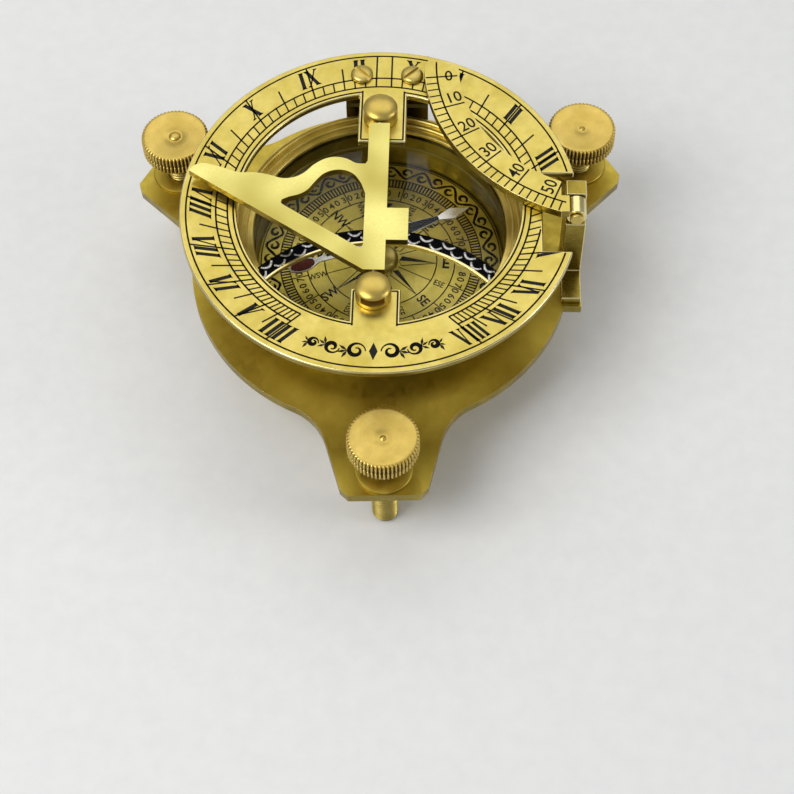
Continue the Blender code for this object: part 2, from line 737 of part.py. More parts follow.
def chord(radius):
    """How far south of the arc's centre a circle about it crosses the line of the arc's root."""
    return math.sqrt(radius**2 - (ARC_CENTRE[0] - ARC_ROOT_X) ** 2)


def build_arc_bracket(brass, steel):
    """A post with a foot, a saddle for the arc's knuckle and one ear."""
    floor = PLATE_T + GAP
    low, high = ARC_KNUCKLE
    side = [(FOOT_SOUTH, floor), (EAR[1], floor), (EAR[1], ARC_PIN_Z + 1.8), (EAR[0], ARC_PIN_Z + 1.8)]
    side += [(EAR[0], SADDLE_Z), (low, SADDLE_Z), (low, floor + FOOT_T), (FOOT_SOUTH, floor + FOOT_T)]
    west, east = ARC_PIN_X - POST_HALF_X, ARC_PIN_X + POST_HALF_X
    bracket = prism("arc_bracket", [side], west, east, brass, FACING_EAST)
    drill(bracket, (ARC_PIN_X, high, ARC_PIN_Z), (ARC_PIN_X, EAR[1] + 1, ARC_PIN_Z), ARC_PIN_R + GAP)
    x, y = arc_screw_place()
    drill(bracket, (x, y, 0.0), (x, y, SMALL_HOLE_TOP), SMALL_R + RUN, BORE_STEPS)
    pin = [
        (0.0, low - 0.8),
        (1.1, low - 0.8),
        (1.3, low - 0.6),
        (1.3, low - GAP),
        (ARC_PIN_R, low - GAP),
        (ARC_PIN_R, EAR[1] - 0.1),
        (0.0, EAR[1] - 0.1),
    ]
    obj = turned("arc_pin", pin, steel, SMALL_STEPS)
    obj.matrix_world = Matrix.Translation(Vector((ARC_PIN_X, 0, ARC_PIN_Z)) * MM) @ Matrix.Rotation(
        math.radians(-90), 4, "X"
    )


def main():
    clear_scene()
    brass = {
        "satin": make_material("satin_brass", (0.42, 0.33, 0.08), 1.0, 0.42),
        "turned": make_material("turned_brass", (0.62, 0.47, 0.18), 1.0, 0.34),
        "bright": make_material("bright_brass", (0.74, 0.58, 0.16), 1.0, 0.3),
        "polished": make_material("polished_brass", (0.8, 0.68, 0.2), 1.0, 0.16),
    }
    card_metal = make_material("card_brass", (0.5, 0.4, 0.16), 1.0, 0.4)
    steel = make_material("needle_steel", (0.5, 0.5, 0.5), 1.0, 0.25)
    pin_steel = make_material("pin_steel", (0.35, 0.34, 0.3), 1.0, 0.4)
    enamel = make_material("black_enamel", (0.01, 0.01, 0.012), 0.0, 0.2)
    glass = make_material("clear_glass", (0.95, 0.97, 0.97), 0.0, 0.02, 0.2)

    build_plate(brass["satin"])
    build_levelling_screws(brass)
    build_fixings(brass["turned"])
    build_compass(brass, card_metal, glass)
    build_needle(steel, brass["turned"])
    build_ring(brass)
    build_hinge(brass, pin_steel)
    build_leaf_screws(brass["turned"])
    build_posts(brass["turned"])
    build_gnomon(brass)
    build_stop_strip(enamel, brass["turned"])
    build_latitude_arc(brass)
    build_arc_bracket(brass["satin"], pin_steel)


main()
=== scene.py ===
"""The looks of a brass sundial compass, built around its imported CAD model.

Sizes are in millimetres and are turned into metres as vertices are made. +Z is
up, +Y is north (XII on the hour ring) and +X is east, as in the CAD model.
"""

import json
import math

import bmesh
import bpy
from mathutils import Matrix, Vector

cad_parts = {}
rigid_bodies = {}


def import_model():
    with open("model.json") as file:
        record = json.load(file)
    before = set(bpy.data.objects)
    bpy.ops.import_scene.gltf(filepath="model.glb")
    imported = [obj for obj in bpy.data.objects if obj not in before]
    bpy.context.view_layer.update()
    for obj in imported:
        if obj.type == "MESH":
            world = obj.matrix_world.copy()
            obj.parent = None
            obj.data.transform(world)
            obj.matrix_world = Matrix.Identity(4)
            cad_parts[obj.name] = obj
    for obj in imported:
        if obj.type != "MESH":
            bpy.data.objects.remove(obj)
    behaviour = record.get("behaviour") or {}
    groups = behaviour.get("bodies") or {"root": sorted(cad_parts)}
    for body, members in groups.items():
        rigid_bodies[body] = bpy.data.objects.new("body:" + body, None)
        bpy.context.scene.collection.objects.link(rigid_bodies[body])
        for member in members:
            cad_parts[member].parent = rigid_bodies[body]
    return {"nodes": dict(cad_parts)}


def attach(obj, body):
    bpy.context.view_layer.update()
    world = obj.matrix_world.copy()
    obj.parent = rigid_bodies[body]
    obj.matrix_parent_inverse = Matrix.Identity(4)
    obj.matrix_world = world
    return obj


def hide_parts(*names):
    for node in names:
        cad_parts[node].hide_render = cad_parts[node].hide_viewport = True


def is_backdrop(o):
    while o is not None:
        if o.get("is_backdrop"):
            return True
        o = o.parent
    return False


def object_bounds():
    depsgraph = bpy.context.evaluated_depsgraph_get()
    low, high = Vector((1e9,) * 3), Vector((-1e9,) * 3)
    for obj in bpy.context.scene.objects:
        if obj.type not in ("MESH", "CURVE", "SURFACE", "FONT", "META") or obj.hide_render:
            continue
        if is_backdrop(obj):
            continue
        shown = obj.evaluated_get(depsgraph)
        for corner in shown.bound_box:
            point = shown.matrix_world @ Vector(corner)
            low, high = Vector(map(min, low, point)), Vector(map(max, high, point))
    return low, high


MM = 0.001
GAP = 0.1
ORIGIN = (0.0, 0.0)

# Base plate
PLATE_R = 37.4
PLATE_T = 2.0
DECK = PLATE_T + GAP
LOBE_TURN = 2.5
LOBE_END = 52.7
LOBE_END_HALF = 6.7
LOBE_SHOULDER = (51.2, 8.2)
LOBE_TAPER = 15.0
LOBE_FILLET = 12.0
PAD_X = 39.5
PAD_SOUTH = -9.9

# Levelling screws
SCREW_CIRCLE = 47.0
SCREW_R = 2.5
THREAD_DEPTH = 0.42
THREAD_PITCH = 0.8
SCREW_TIP = -15.3
NECK_FOOT = 5.8
KNOB_TOP = 13.8
KNOB_R = 6.7
KNURLS = 54
KNURL_DEPTH = 0.55
BUSH_HOLE_R = 3.7

# Compass
CARD_R = 24.0
CARD_TURN = -3.6
CARD_TOP = DECK + 0.7
BOWL_IN = 24.3
BOWL_OUT = 26.9
BOWL_TOP = 11.1
GLASS_R = 25.8
BEZEL_R = 28.0
BEZEL_LIP = 24.5
BEZEL_TOP = 14.3
BEZEL_SKIRT = 8.6
NEEDLE_Z = 9.6
NEEDLE_T = 0.35
NEEDLE_HALF = 19.0
NEEDLE_HEADING = 24.5

# Compass card: radii of its printed rings
ROSE_R = 11.1
LETTERS_R = 14.7
NUMBERS_R = 18.1
TICKS_R = 19.95
BORDER_R = 23.7
CARD_LINE_W = 0.24
DIGIT_STEP = 4.7
VINE_BENDS = 42

# Hour ring, and the radii of the lines on its face
RING_TOP = 21.0
RING_T = 1.4
RING_R = 38.0
RING_IN = 27.1
RING_FLOOR = RING_TOP - RING_T
TAB_HALF = 4.65
NORTH_TAB_END = 15.0
SOUTH_TAB_END = -19.5
NOTCH_X = 31.0
NOTCH_SOUTH = -10.3
NOTCH_NORTH = 8.0
RIM_LINE = 36.75
BAND_LINE = 31.05
TRACK_LINE = 28.85
INNER_LINE = 27.75
NUMERAL_HEIGHT = 4.15
NUMERAL_SHARE = 0.84
LINE_W = 0.34
NUMERAL_R = 34.0
ORNAMENT_R = 33.3

# The hour lines fan out from two points, one for each side of the gnomon's thickness
HOUR_FOOT = (1.5, -14.3)
HOUR_STEP = 16.6
LAST_HOUR = 8
NOTCH_HOUR = 4
HOUR_CELLS = 6
MORNING = ("XI", "X", "IX", "VIII", "VII", "VI", "V", "IIII")
AFTERNOON = ("I", "II", "III", "IIII", "V", "VI", "VII", "VIII")

# Hinge of the hour ring
HINGE_Y = 31.4
HINGE_Z = 16.2
HINGE_X = 0.55
HINGE_WIDTH = 16.4
KNUCKLE_R = 2.0
KNUCKLE_BARREL = 6.4
HINGE_BORE_R = 1.0
LEAF_T = 1.2
LEAF_TOP = RING_FLOOR - GAP
LEAF_SOUTH = 28.9
LEAF_NORTH = 38.3
LEAF_SCREW_SPREAD = 9.95
LEAF_SCREW_Y = 31.7

# Gnomon, posts and stop strip
PIVOT_X = -0.4
PIVOT_Z = RING_TOP + 2.2
GNOMON_T = 1.5
BAR_HALF = 2.0
BAR_END = 17.3
POST_Y = 21.1
POST_R = 3.35
POST_WALL = 2.9
POST_DOME = 1.0
STRIP_CENTRE = (0.0, -34.8)
STRIP_IN = 28.9
STRIP_OUT = 32.1
STRIP_TOP = RING_TOP - 4.4
STRIP_T = 1.0
STRIP_SWEEP = 53.0
SCALE_PITCH = 8.4

# Latitude arc and its bracket
ARC_CENTRE = (46.0, 33.6)
ARC_IN = 31.3
ARC_OUT = 38.1
ARC_TICK_LINE = 35.7
ARC_LABEL_R = 33.4
ARC_ZERO = 186.1
ARC_TEN = 12.56
ARC_FLOOR = RING_TOP + GAP + 0.15
ARC_T = 1.8
ARC_TOP = ARC_FLOOR + ARC_T
ARC_END_R = 35.5
ARC_CORNER = (2.4, 1.6)
ARC_ROOT_X = 34.5
ARC_PIN_X = 37.4
ARC_KNUCKLE_R = 1.9
ARC_PIN_Z = ARC_TOP - ARC_KNUCKLE_R
ARC_PIN_R = 0.8
ARC_KNUCKLE = (-2.6, 1.2)
EAR = (1.5, 4.9)
POST_HALF_X = 1.95
SADDLE_Z = 18.9
FOOT_SOUTH = -9.3
FOOT_T = 1.8

FINE = 192
ROUND = 64

# Camera: where it stands and what it looks at, and its turn about the line of sight
CAMERA_AT = (12.03, -218.86, 311.095)
CAMERA_AIM = (4.557, -42.864, RING_TOP)
CAMERA_ROLL = -1.02
CAMERA_LENS = 86.32


# ---- outlines


def arc(centre, radius, start, end, steps):
    """Points on a circle from start to end, in degrees, both ends included."""
    points = []
    for i in range(steps + 1):
        angle = math.radians(start + (end - start) * i / steps)
        points.append((centre[0] + radius * math.cos(angle), centre[1] + radius * math.sin(angle)))
    return points


def circle(centre, radius, steps):
    return arc(centre, radius, 0.0, 360.0, steps)[:-1]


def angle_to(point, centre=(0.0, 0.0)):
    return math.degrees(math.atan2(point[1] - centre[1], point[0] - centre[0]))


def turn(point, degrees):
    a = math.radians(degrees)
    return (
        point[0] * math.cos(a) - point[1] * math.sin(a),
        point[0] * math.sin(a) + point[1] * math.cos(a),
    )


def smooth(points, steps):
    """A Catmull-Rom curve through an open list of points."""
    curve = []
    for i in range(len(points) - 1):
        p = [Vector(points[max(i - 1, 0)]), Vector(points[i])]
        p += [Vector(points[i + 1]), Vector(points[min(i + 2, len(points) - 1)])]
        for k in range(steps):
            t = k / steps
            a = 2 * p[1] + (p[2] - p[0]) * t
            b = (2 * p[0] - 5 * p[1] + 4 * p[2] - p[3]) * t * t
            c = (3 * p[1] - p[0] - 3 * p[2] + p[3]) * t**3
            curve.append(tuple((a + b + c) / 2))
    curve.append(tuple(points[-1]))
    return curve


def raised(level, *points):
    """A profile from (radius, height above a level) pairs."""
    return [(radius, level + height) for radius, height in points]


def lobe_angles():
    return [-90.0 + LOBE_TURN + 120.0 * k for k in range(3)]


def screw_places():
    names = ("front", "rear_right", "rear_left")
    return [(name, turn((SCREW_CIRCLE, 0.0), angle)) for name, angle in zip(names, lobe_angles())]


def lobe_fillet():
    """The centre of the fillet between the disc and a lobe's left side, in the lobe's own axes."""
    taper = math.radians(LOBE_TAPER)
    along = Vector((-math.cos(taper), math.sin(taper)))
    across = Vector((math.sin(taper), math.cos(taper)))
    start = Vector(LOBE_SHOULDER) + across * LOBE_FILLET
    half = start.dot(along)
    reach = PLATE_R + LOBE_FILLET
    travel = -half - math.sqrt(half * half - start.length_squared + reach * reach)
    return start + along * travel


def plate_outline():
    """Anticlockwise from the front lobe. The pad meets the rear right lobe's fillet."""
    centre = lobe_fillet()
    from_disc = angle_to(centre) - 180.0
    left = [LOBE_SHOULDER] + arc(centre, LOBE_FILLET, -90.0 - LOBE_TAPER, from_disc, 24)
    half = [(LOBE_END, LOBE_END_HALF)] + left
    lobe = [(u, -v) for u, v in reversed(half)] + half
    outline = []
    for k, angle in enumerate(lobe_angles()):
        here = [turn(p, angle) for p in lobe]
        if k == 1:
            here = [p for i, p in enumerate(here) if i > len(left) or p[0] > PAD_X]
            fillet_centre = turn((centre[0], -centre[1]), angle)
            rise = math.sqrt(LOBE_FILLET**2 - (PAD_X - fillet_centre[0]) ** 2)
            outline.append((PAD_X, fillet_centre[1] + rise))
        outline += here
        start = angle_to(here[-1])
        end = angle + 120.0 - angle_to(centre)
        if k == 0:
            end = math.degrees(math.asin(PAD_SOUTH / PLATE_R))
        end += 360.0 if end < start else 0.0
        outline += arc((0, 0), PLATE_R, start, end, 40)[1 : None if k == 0 else -1]
        if k == 0:
            outline.append((PAD_X, PAD_SOUTH))
    return outline


def ring_outlines():
    """The ring's outer edge with its notch, and its opening with the two tabs."""
    south = math.degrees(math.asin(NOTCH_SOUTH / RING_R))
    north = math.degrees(math.asin(NOTCH_NORTH / RING_R))
    outer = arc((0, 0), RING_R, north, 360.0 + south, FINE)
    outer += [(NOTCH_X, NOTCH_SOUTH), (NOTCH_X, NOTCH_NORTH)]
    corner = math.degrees(math.asin(TAB_HALF / RING_IN))
    east = arc((0, 0), RING_IN, -90.0 + corner, 90.0 - corner, FINE // 2)
    west = arc((0, 0), RING_IN, 90.0 + corner, 270.0 - corner, FINE // 2)
    north_tab = [(TAB_HALF, NORTH_TAB_END), (-TAB_HALF, NORTH_TAB_END)]
    south_tab = [(-TAB_HALF, SOUTH_TAB_END), (TAB_HALF, SOUTH_TAB_END)]
    return outer, east + north_tab + west + south_tab


def gnomon_outlines():
    """The folded gnomon: bar, stop tab, pointed arm and curved arm round one window."""
    east = PIVOT_X + BAR_HALF
    west = PIVOT_X - BAR_HALF
    bar = [(west, -BAR_END), (east, -BAR_END), (east, -10.5), (5.7, -10.5), (5.7, -3.1)]
    bar += [(east, -3.1), (east, BAR_END), (west, BAR_END), (west, 8.0)]
    crest = [(west - 0.4, 7.3), (-4.6, 7.4), (-6.4, 8.4), (-8.6, 8.8), (-10.6, 8.3), (-12.6, 6.9)]
    crest += [(-14.2, 5.1), (-16.0, 3.9), (-18.4, 3.5), (-21.5, 4.4), (-24.2, 4.8), (-27.0, 4.8)]
    crest += [(-30.5, 6.0), (-33.5, 6.8), (-35.4, 6.3), (-36.4, 5.0)]
    window = [(-3.4, 2.5), (-4.8, 4.6), (-6.6, 5.6), (-8.8, 5.6), (-10.8, 4.6), (-12.3, 2.7)]
    window += [(-13.5, 0.9), (-15.0, -0.2), (-17.0, -0.9), (-18.3, -1.6)]
    window = smooth(window, 8)
    window += [(-18.4, -2.3), (-17.9, -2.8), (-3.6, -12.2), (-2.9, -12.3), (-2.6, -11.6)]
    window += [(-2.6, 0.2)]
    return bar + smooth(crest, 8), window


def needle_outline():
    flank = [(NEEDLE_HALF, 0.0), (15.4, 1.35), (12.6, 0.5), (4.5, 1.5)]
    flank += [(-4.5, 1.5), (-12.9, 0.5)]
    tail = arc((-16.1, 0.0), 1.0, 40.0, 180.0, 24)
    flank += [(-16.1 + (x + 16.1) * 2.9, y * 1.45) for x, y in tail]
    return flank + [(x, -y) for x, y in reversed(flank[1:-1])]


def chord(radius):
    return math.sqrt(radius**2 - (ARC_CENTRE[0] - ARC_ROOT_X) ** 2)


def arc_tip(radius):
    """Where a circle about the arc's centre meets, in the north, the circle that trims the arc's end."""
    apart = math.hypot(*ARC_CENTRE)
    along = (ARC_END_R**2 - radius**2 + apart**2) / (2 * apart)
    aside = math.sqrt(ARC_END_R**2 - along**2)
    east, north = ARC_CENTRE[0] / apart, ARC_CENTRE[1] / apart
    return (along * east - aside * north, along * north + aside * east)


def latitude_outline():
    outer_start = angle_to((ARC_ROOT_X, ARC_CENTRE[1] - chord(ARC_OUT)), ARC_CENTRE)
    inner_start = angle_to((ARC_ROOT_X, ARC_CENTRE[1] - chord(ARC_IN)), ARC_CENTRE)
    outer_tip = arc_tip(ARC_OUT)
    inner_tip = arc_tip(ARC_IN)
    outer_end = angle_to(outer_tip, ARC_CENTRE) % 360.0 - 360.0 + ARC_CORNER[0]
    inner_end = angle_to(inner_tip, ARC_CENTRE) % 360.0 - 360.0
    low, high = ARC_KNUCKLE
    outline = arc(ARC_CENTRE, ARC_OUT, outer_start, outer_end, 72)
    outline += arc((0.0, 0.0), ARC_END_R, angle_to(outer_tip) - ARC_CORNER[1], angle_to(inner_tip), 12)[:-1]
    outline += arc(ARC_CENTRE, ARC_IN, inner_end, inner_start, 72)
    corner = ARC_PIN_X - 1.4
    return outline + [(ARC_ROOT_X, high), (corner, high), (corner, low), (ARC_ROOT_X, low)]


# ---- meshes

FINISH = {}
FLAT = Matrix.Identity(4)
FACING_EAST = Matrix(((0, 0, 1, 0), (1, 0, 0, 0), (0, 1, 0, 0), (0, 0, 0, 1)))


def finish_mesh(name, bm, looks, at=(0.0, 0.0, 0.0), sharp=38.0):
    """Turns a bmesh in world millimetres into an object in metres, its origin at a point."""
    bmesh.ops.remove_doubles(bm, verts=bm.verts, dist=0.0005)
    bmesh.ops.recalc_face_normals(bm, faces=bm.faces)
    bmesh.ops.translate(bm, verts=bm.verts, vec=-Vector(at))
    bmesh.ops.scale(bm, verts=bm.verts, vec=(MM, MM, MM))
    mesh = bpy.data.meshes.new(name)
    bm.to_mesh(mesh)
    bm.free()
    mesh.shade_smooth()
    mesh.set_sharp_from_angle(angle=math.radians(sharp))
    for look in looks:
        mesh.materials.append(FINISH[look])
    obj = bpy.data.objects.new(name, mesh)
    obj.location = Vector(at) * MM
    bpy.context.scene.collection.objects.link(obj)
    return obj


def round_edges(obj, width, segments=3, material=-1):
    """Breaks the sharp edges, and gives them the finish of a material slot where one is named; with the rim
    slot that finish is a painted highlight.
    """
    modifier = obj.modifiers.new("edges", "BEVEL")
    modifier.width = width * MM
    modifier.segments = segments
    modifier.limit_method = "ANGLE"
    modifier.angle_limit = math.radians(38)
    modifier.harden_normals = True
    modifier.material = material
    return obj


def prism(name, loops, low, high, materials, plane=FLAT, at=(0.0, 0.0, 0.0)):
    """A flat outline, with any holes after it, thickened. The second material is for its sides."""
    bm = bmesh.new()
    for loop in loops:
        verts = [bm.verts.new((x, y, low)) for x, y in loop]
        for one, other in zip(verts, verts[1:] + verts[:1]):
            bm.edges.new((one, other))
    bmesh.ops.triangle_fill(bm, use_beauty=True, edges=bm.edges)
    grown = bmesh.ops.extrude_face_region(bm, geom=bm.faces)
    lifted = [v for v in grown["geom"] if isinstance(v, bmesh.types.BMVert)]
    bmesh.ops.translate(bm, verts=lifted, vec=(0, 0, high - low))
    bm.normal_update()
    if len(materials) > 1:
        for face in bm.faces:
            face.material_index = 1 if abs(face.normal.z) < 0.5 else 0
    bmesh.ops.transform(bm, verts=bm.verts, matrix=plane)
    return finish_mesh(name, bm, materials, at)


def grid(name, rows, materials, at, closed_top=True, closed_bottom=True, sharp=38.0):
    """A closed round piece from rows of (x, y, z) points, each row one turn about the axis."""
    bm = bmesh.new()
    made = [[bm.verts.new((at[0] + x, at[1] + y, z)) for x, y, z in row] for row in rows]
    count = len(rows[0])
    for lower, upper in zip(made, made[1:]):
        for i in range(count):
            j = (i + 1) % count
            bm.faces.new((lower[i], lower[j], upper[j], upper[i]))
    for closed, row in ((closed_bottom, made[0]), (closed_top, made[-1])):
        if closed:
            bm.faces.new(row)
    return finish_mesh(name, bm, materials, at, sharp)


def turned(name, profile, materials, at=(0.0, 0.0, 0.0), steps=ROUND):
    """A (radius, height) profile spun about the upright axis through at."""
    bm = bmesh.new()
    verts = [bm.verts.new((at[0] + r, at[1], z)) for r, z in profile]
    on_axis = profile[0][0] == 0.0 and profile[-1][0] == 0.0
    ends = verts[1:] if on_axis else verts[1:] + verts[:1]
    edges = [bm.edges.new(pair) for pair in zip(verts, ends)]
    spin = {"cent": (at[0], at[1], 0), "axis": (0, 0, 1), "angle": 2 * math.pi}
    bmesh.ops.spin(bm, geom=verts + edges, steps=steps, use_merge=True, **spin)
    return finish_mesh(name, bm, materials, at, 25.0)


def rod(name, start, end, radius, materials, steps=32, at=(0.0, 0.0, 0.0)):
    start, end = Vector(start), Vector(end)
    way = end - start
    place = Matrix.Translation((start + end) / 2) @ way.to_track_quat("Z", "Y").to_matrix().to_4x4()
    bm = bmesh.new()
    size = {"radius1": radius, "radius2": radius, "depth": way.length}
    bmesh.ops.create_cone(bm, cap_ends=True, segments=steps, matrix=place, **size)
    return finish_mesh(name, bm, materials, at)


def cut(obj, cutter):
    """Takes the cutter out of obj for good, and removes the cutter."""
    modifier = obj.modifiers.new("cut", "BOOLEAN")
    modifier.operation = "DIFFERENCE"
    modifier.solver = "EXACT"
    modifier.object = cutter
    graph = bpy.context.evaluated_depsgraph_get()
    mesh = bpy.data.meshes.new_from_object(obj.evaluated_get(graph))
    obj.modifiers.remove(modifier)
    obj.data = mesh
    bpy.data.objects.remove(cutter, do_unlink=True)
    mesh.shade_smooth()
    mesh.set_sharp_from_angle(angle=math.radians(30))


def drill(obj, start, end, radius, steps=32):
    cut(obj, rod("bore", start, end, radius, [], steps))


def mill(obj, low, high):
    outline = [(low[0], low[1]), (high[0], low[1]), (high[0], high[1]), (low[0], high[1])]
    cut(obj, prism("slot", [outline], low[2], high[2], []))


def stands_for(obj, body, slot, *nodes):
    """obj moves with a CAD body and replaces these nodes; slot is not used."""
    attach(obj, body)
    if nodes:
        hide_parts(*nodes)
    return obj


# ---- markings


def south_part(points, limit):
    """The part of a polygon that lies south of a line running east and west."""
    kept = []
    for one, other in zip(points, points[1:] + points[:1]):
        if one.y <= limit:
            kept.append(one)
        if (one.y - limit) * (other.y - limit) < 0:
            kept.append(one.lerp(other, (limit - one.y) / (other.y - one.y)))
    return kept


THICK = 0.19
THIN = 0.08
SERIF = 0.085

# Each letter's advance, its strokes as (foot, head, width), and its serifs as (x, y, half width)
NUMERALS = {
    "I": (0.33, [((0.165, 0), (0.165, 1), THICK)], [(0.165, 0, 0.15), (0.165, 1, 0.15)]),
    "V": (
        0.66,
        [((0.33, 0), (0.14, 1), THICK), ((0.33, 0), (0.55, 1), THIN)],
        [(0.14, 1, 0.155), (0.55, 1, 0.115)],
    ),
    "X": (
        0.7,
        [((0.57, 0), (0.14, 1), THICK), ((0.13, 0), (0.56, 1), THIN)],
        [(0.57, 0, 0.155), (0.14, 1, 0.155), (0.13, 0, 0.115), (0.56, 1, 0.115)],
    ),
}


class Marks:
    """Flat shapes drawn on a face, thickened into one inlaid piece."""

    def __init__(self, z, depth=0.03, proud=0.012):
        self.bm = bmesh.new()
        self.south_of = None
        self.low = z + proud - depth
        self.high = z + proud

    def shape(self, points):
        """One flat polygon, cut off at the line south_of where that is set."""
        if self.south_of is not None:
            points = south_part([Vector(p) for p in points], self.south_of)
        if len(points) > 2:
            self.bm.faces.new([self.bm.verts.new((x, y, self.low)) for x, y in points])

    def band(self, centre, inner, outer, start, end):
        """A stretch of a ring, in quads of about a degree."""
        steps = max(1, int(abs(end - start) / 1.2))
        one = arc(centre, inner, start, end, steps)
        other = arc(centre, outer, start, end, steps)
        for k in range(steps):
            self.shape([one[k], one[k + 1], other[k + 1], other[k]])

    def line(self, centre, radius, width, start=0.0, end=360.0):
        self.band(centre, radius - width / 2, radius + width / 2, start, end)

    def ray(self, centre, inner, outer, angle, width):
        u = Vector(turn((1.0, 0.0), angle))
        v = Vector((-u.y, u.x)) * width / 2
        a = Vector(centre) + u * inner
        b = Vector(centre) + u * outer
        self.shape([a - v, b - v, b + v, a + v])

    def stroke(self, points, widths):
        """A pen stroke along points, as wide at each as its entry in widths."""
        points = [Vector(p) for p in points]
        sides = []
        for i, p in enumerate(points):
            way = points[min(i + 1, len(points) - 1)] - points[max(i - 1, 0)]
            across = Vector((-way.y, way.x)).normalized() * widths[i] / 2
            sides.append((p - across, p + across))
        for (a, b), (c, d) in zip(sides, sides[1:]):
            self.shape([a, c, d, b])

    def text(self, words, size, place, up, bold=0.0, squeeze=1.0):
        """Words in Blender's own font, centred on place, with their tops towards up in degrees."""
        curve = bpy.data.curves.new("words", "FONT")
        curve.body = words
        curve.size = size
        curve.align_x = "CENTER"
        curve.align_y = "CENTER"
        curve.offset = bold
        curve.resolution_u = 3
        obj = bpy.data.objects.new("words", curve)
        bpy.context.scene.collection.objects.link(obj)
        graph = bpy.context.evaluated_depsgraph_get()
        mesh = bpy.data.meshes.new_from_object(obj.evaluated_get(graph))
        corners = [turn((v.co.x * squeeze, v.co.y), up - 90.0) for v in mesh.vertices]
        corners = [(place[0] + x, place[1] + y) for x, y in corners]
        verts = [self.bm.verts.new((x, y, self.low)) for x, y in corners]
        for face in mesh.polygons:
            self.bm.faces.new([verts[i] for i in face.vertices])
        bpy.data.objects.remove(obj, do_unlink=True)
        bpy.data.meshes.remove(mesh)
        bpy.data.curves.remove(curve)

    def numeral(self, letters, place, height, room):
        """A serifed Roman numeral, narrowed to its room. place(x, y) puts a point of it on the face."""
        total = sum(NUMERALS[letter][0] for letter in letters)
        wide = height * min(1.0, room / (total * height))
        pen = -total / 2
        for letter in letters:
            advance, lines, feet = NUMERALS[letter]
            for start, end, width in lines:
                half = width / 2
                outline = [(start[0] - half, start[1]), (start[0] + half, start[1])]
                outline += [(end[0] + half, end[1]), (end[0] - half, end[1])]
                self.shape([place((pen + x) * wide, (y - 0.5) * height) for x, y in outline])
            for x, y, reach in feet:
                inner = y + (SERIF if y == 0 else -SERIF)
                outline = [(x - reach, y), (x + reach, y), (x + reach / 2, inner), (x - reach / 2, inner)]
                self.shape([place((pen + px) * wide, (py - 0.5) * height) for px, py in outline])
            pen += advance

    def build(self, name, material, at=(0.0, 0.0, 0.0)):
        flat = self.bm.faces[:]
        grown = bmesh.ops.extrude_face_region(self.bm, geom=flat)
        lifted = [v for v in grown["geom"] if isinstance(v, bmesh.types.BMVert)]
        bmesh.ops.translate(self.bm, verts=lifted, vec=(0, 0, self.high - self.low))
        bmesh.ops.recalc_face_normals(self.bm, faces=self.bm.faces)
        return finish_mesh(name, self.bm, [material], at)


# ---- materials


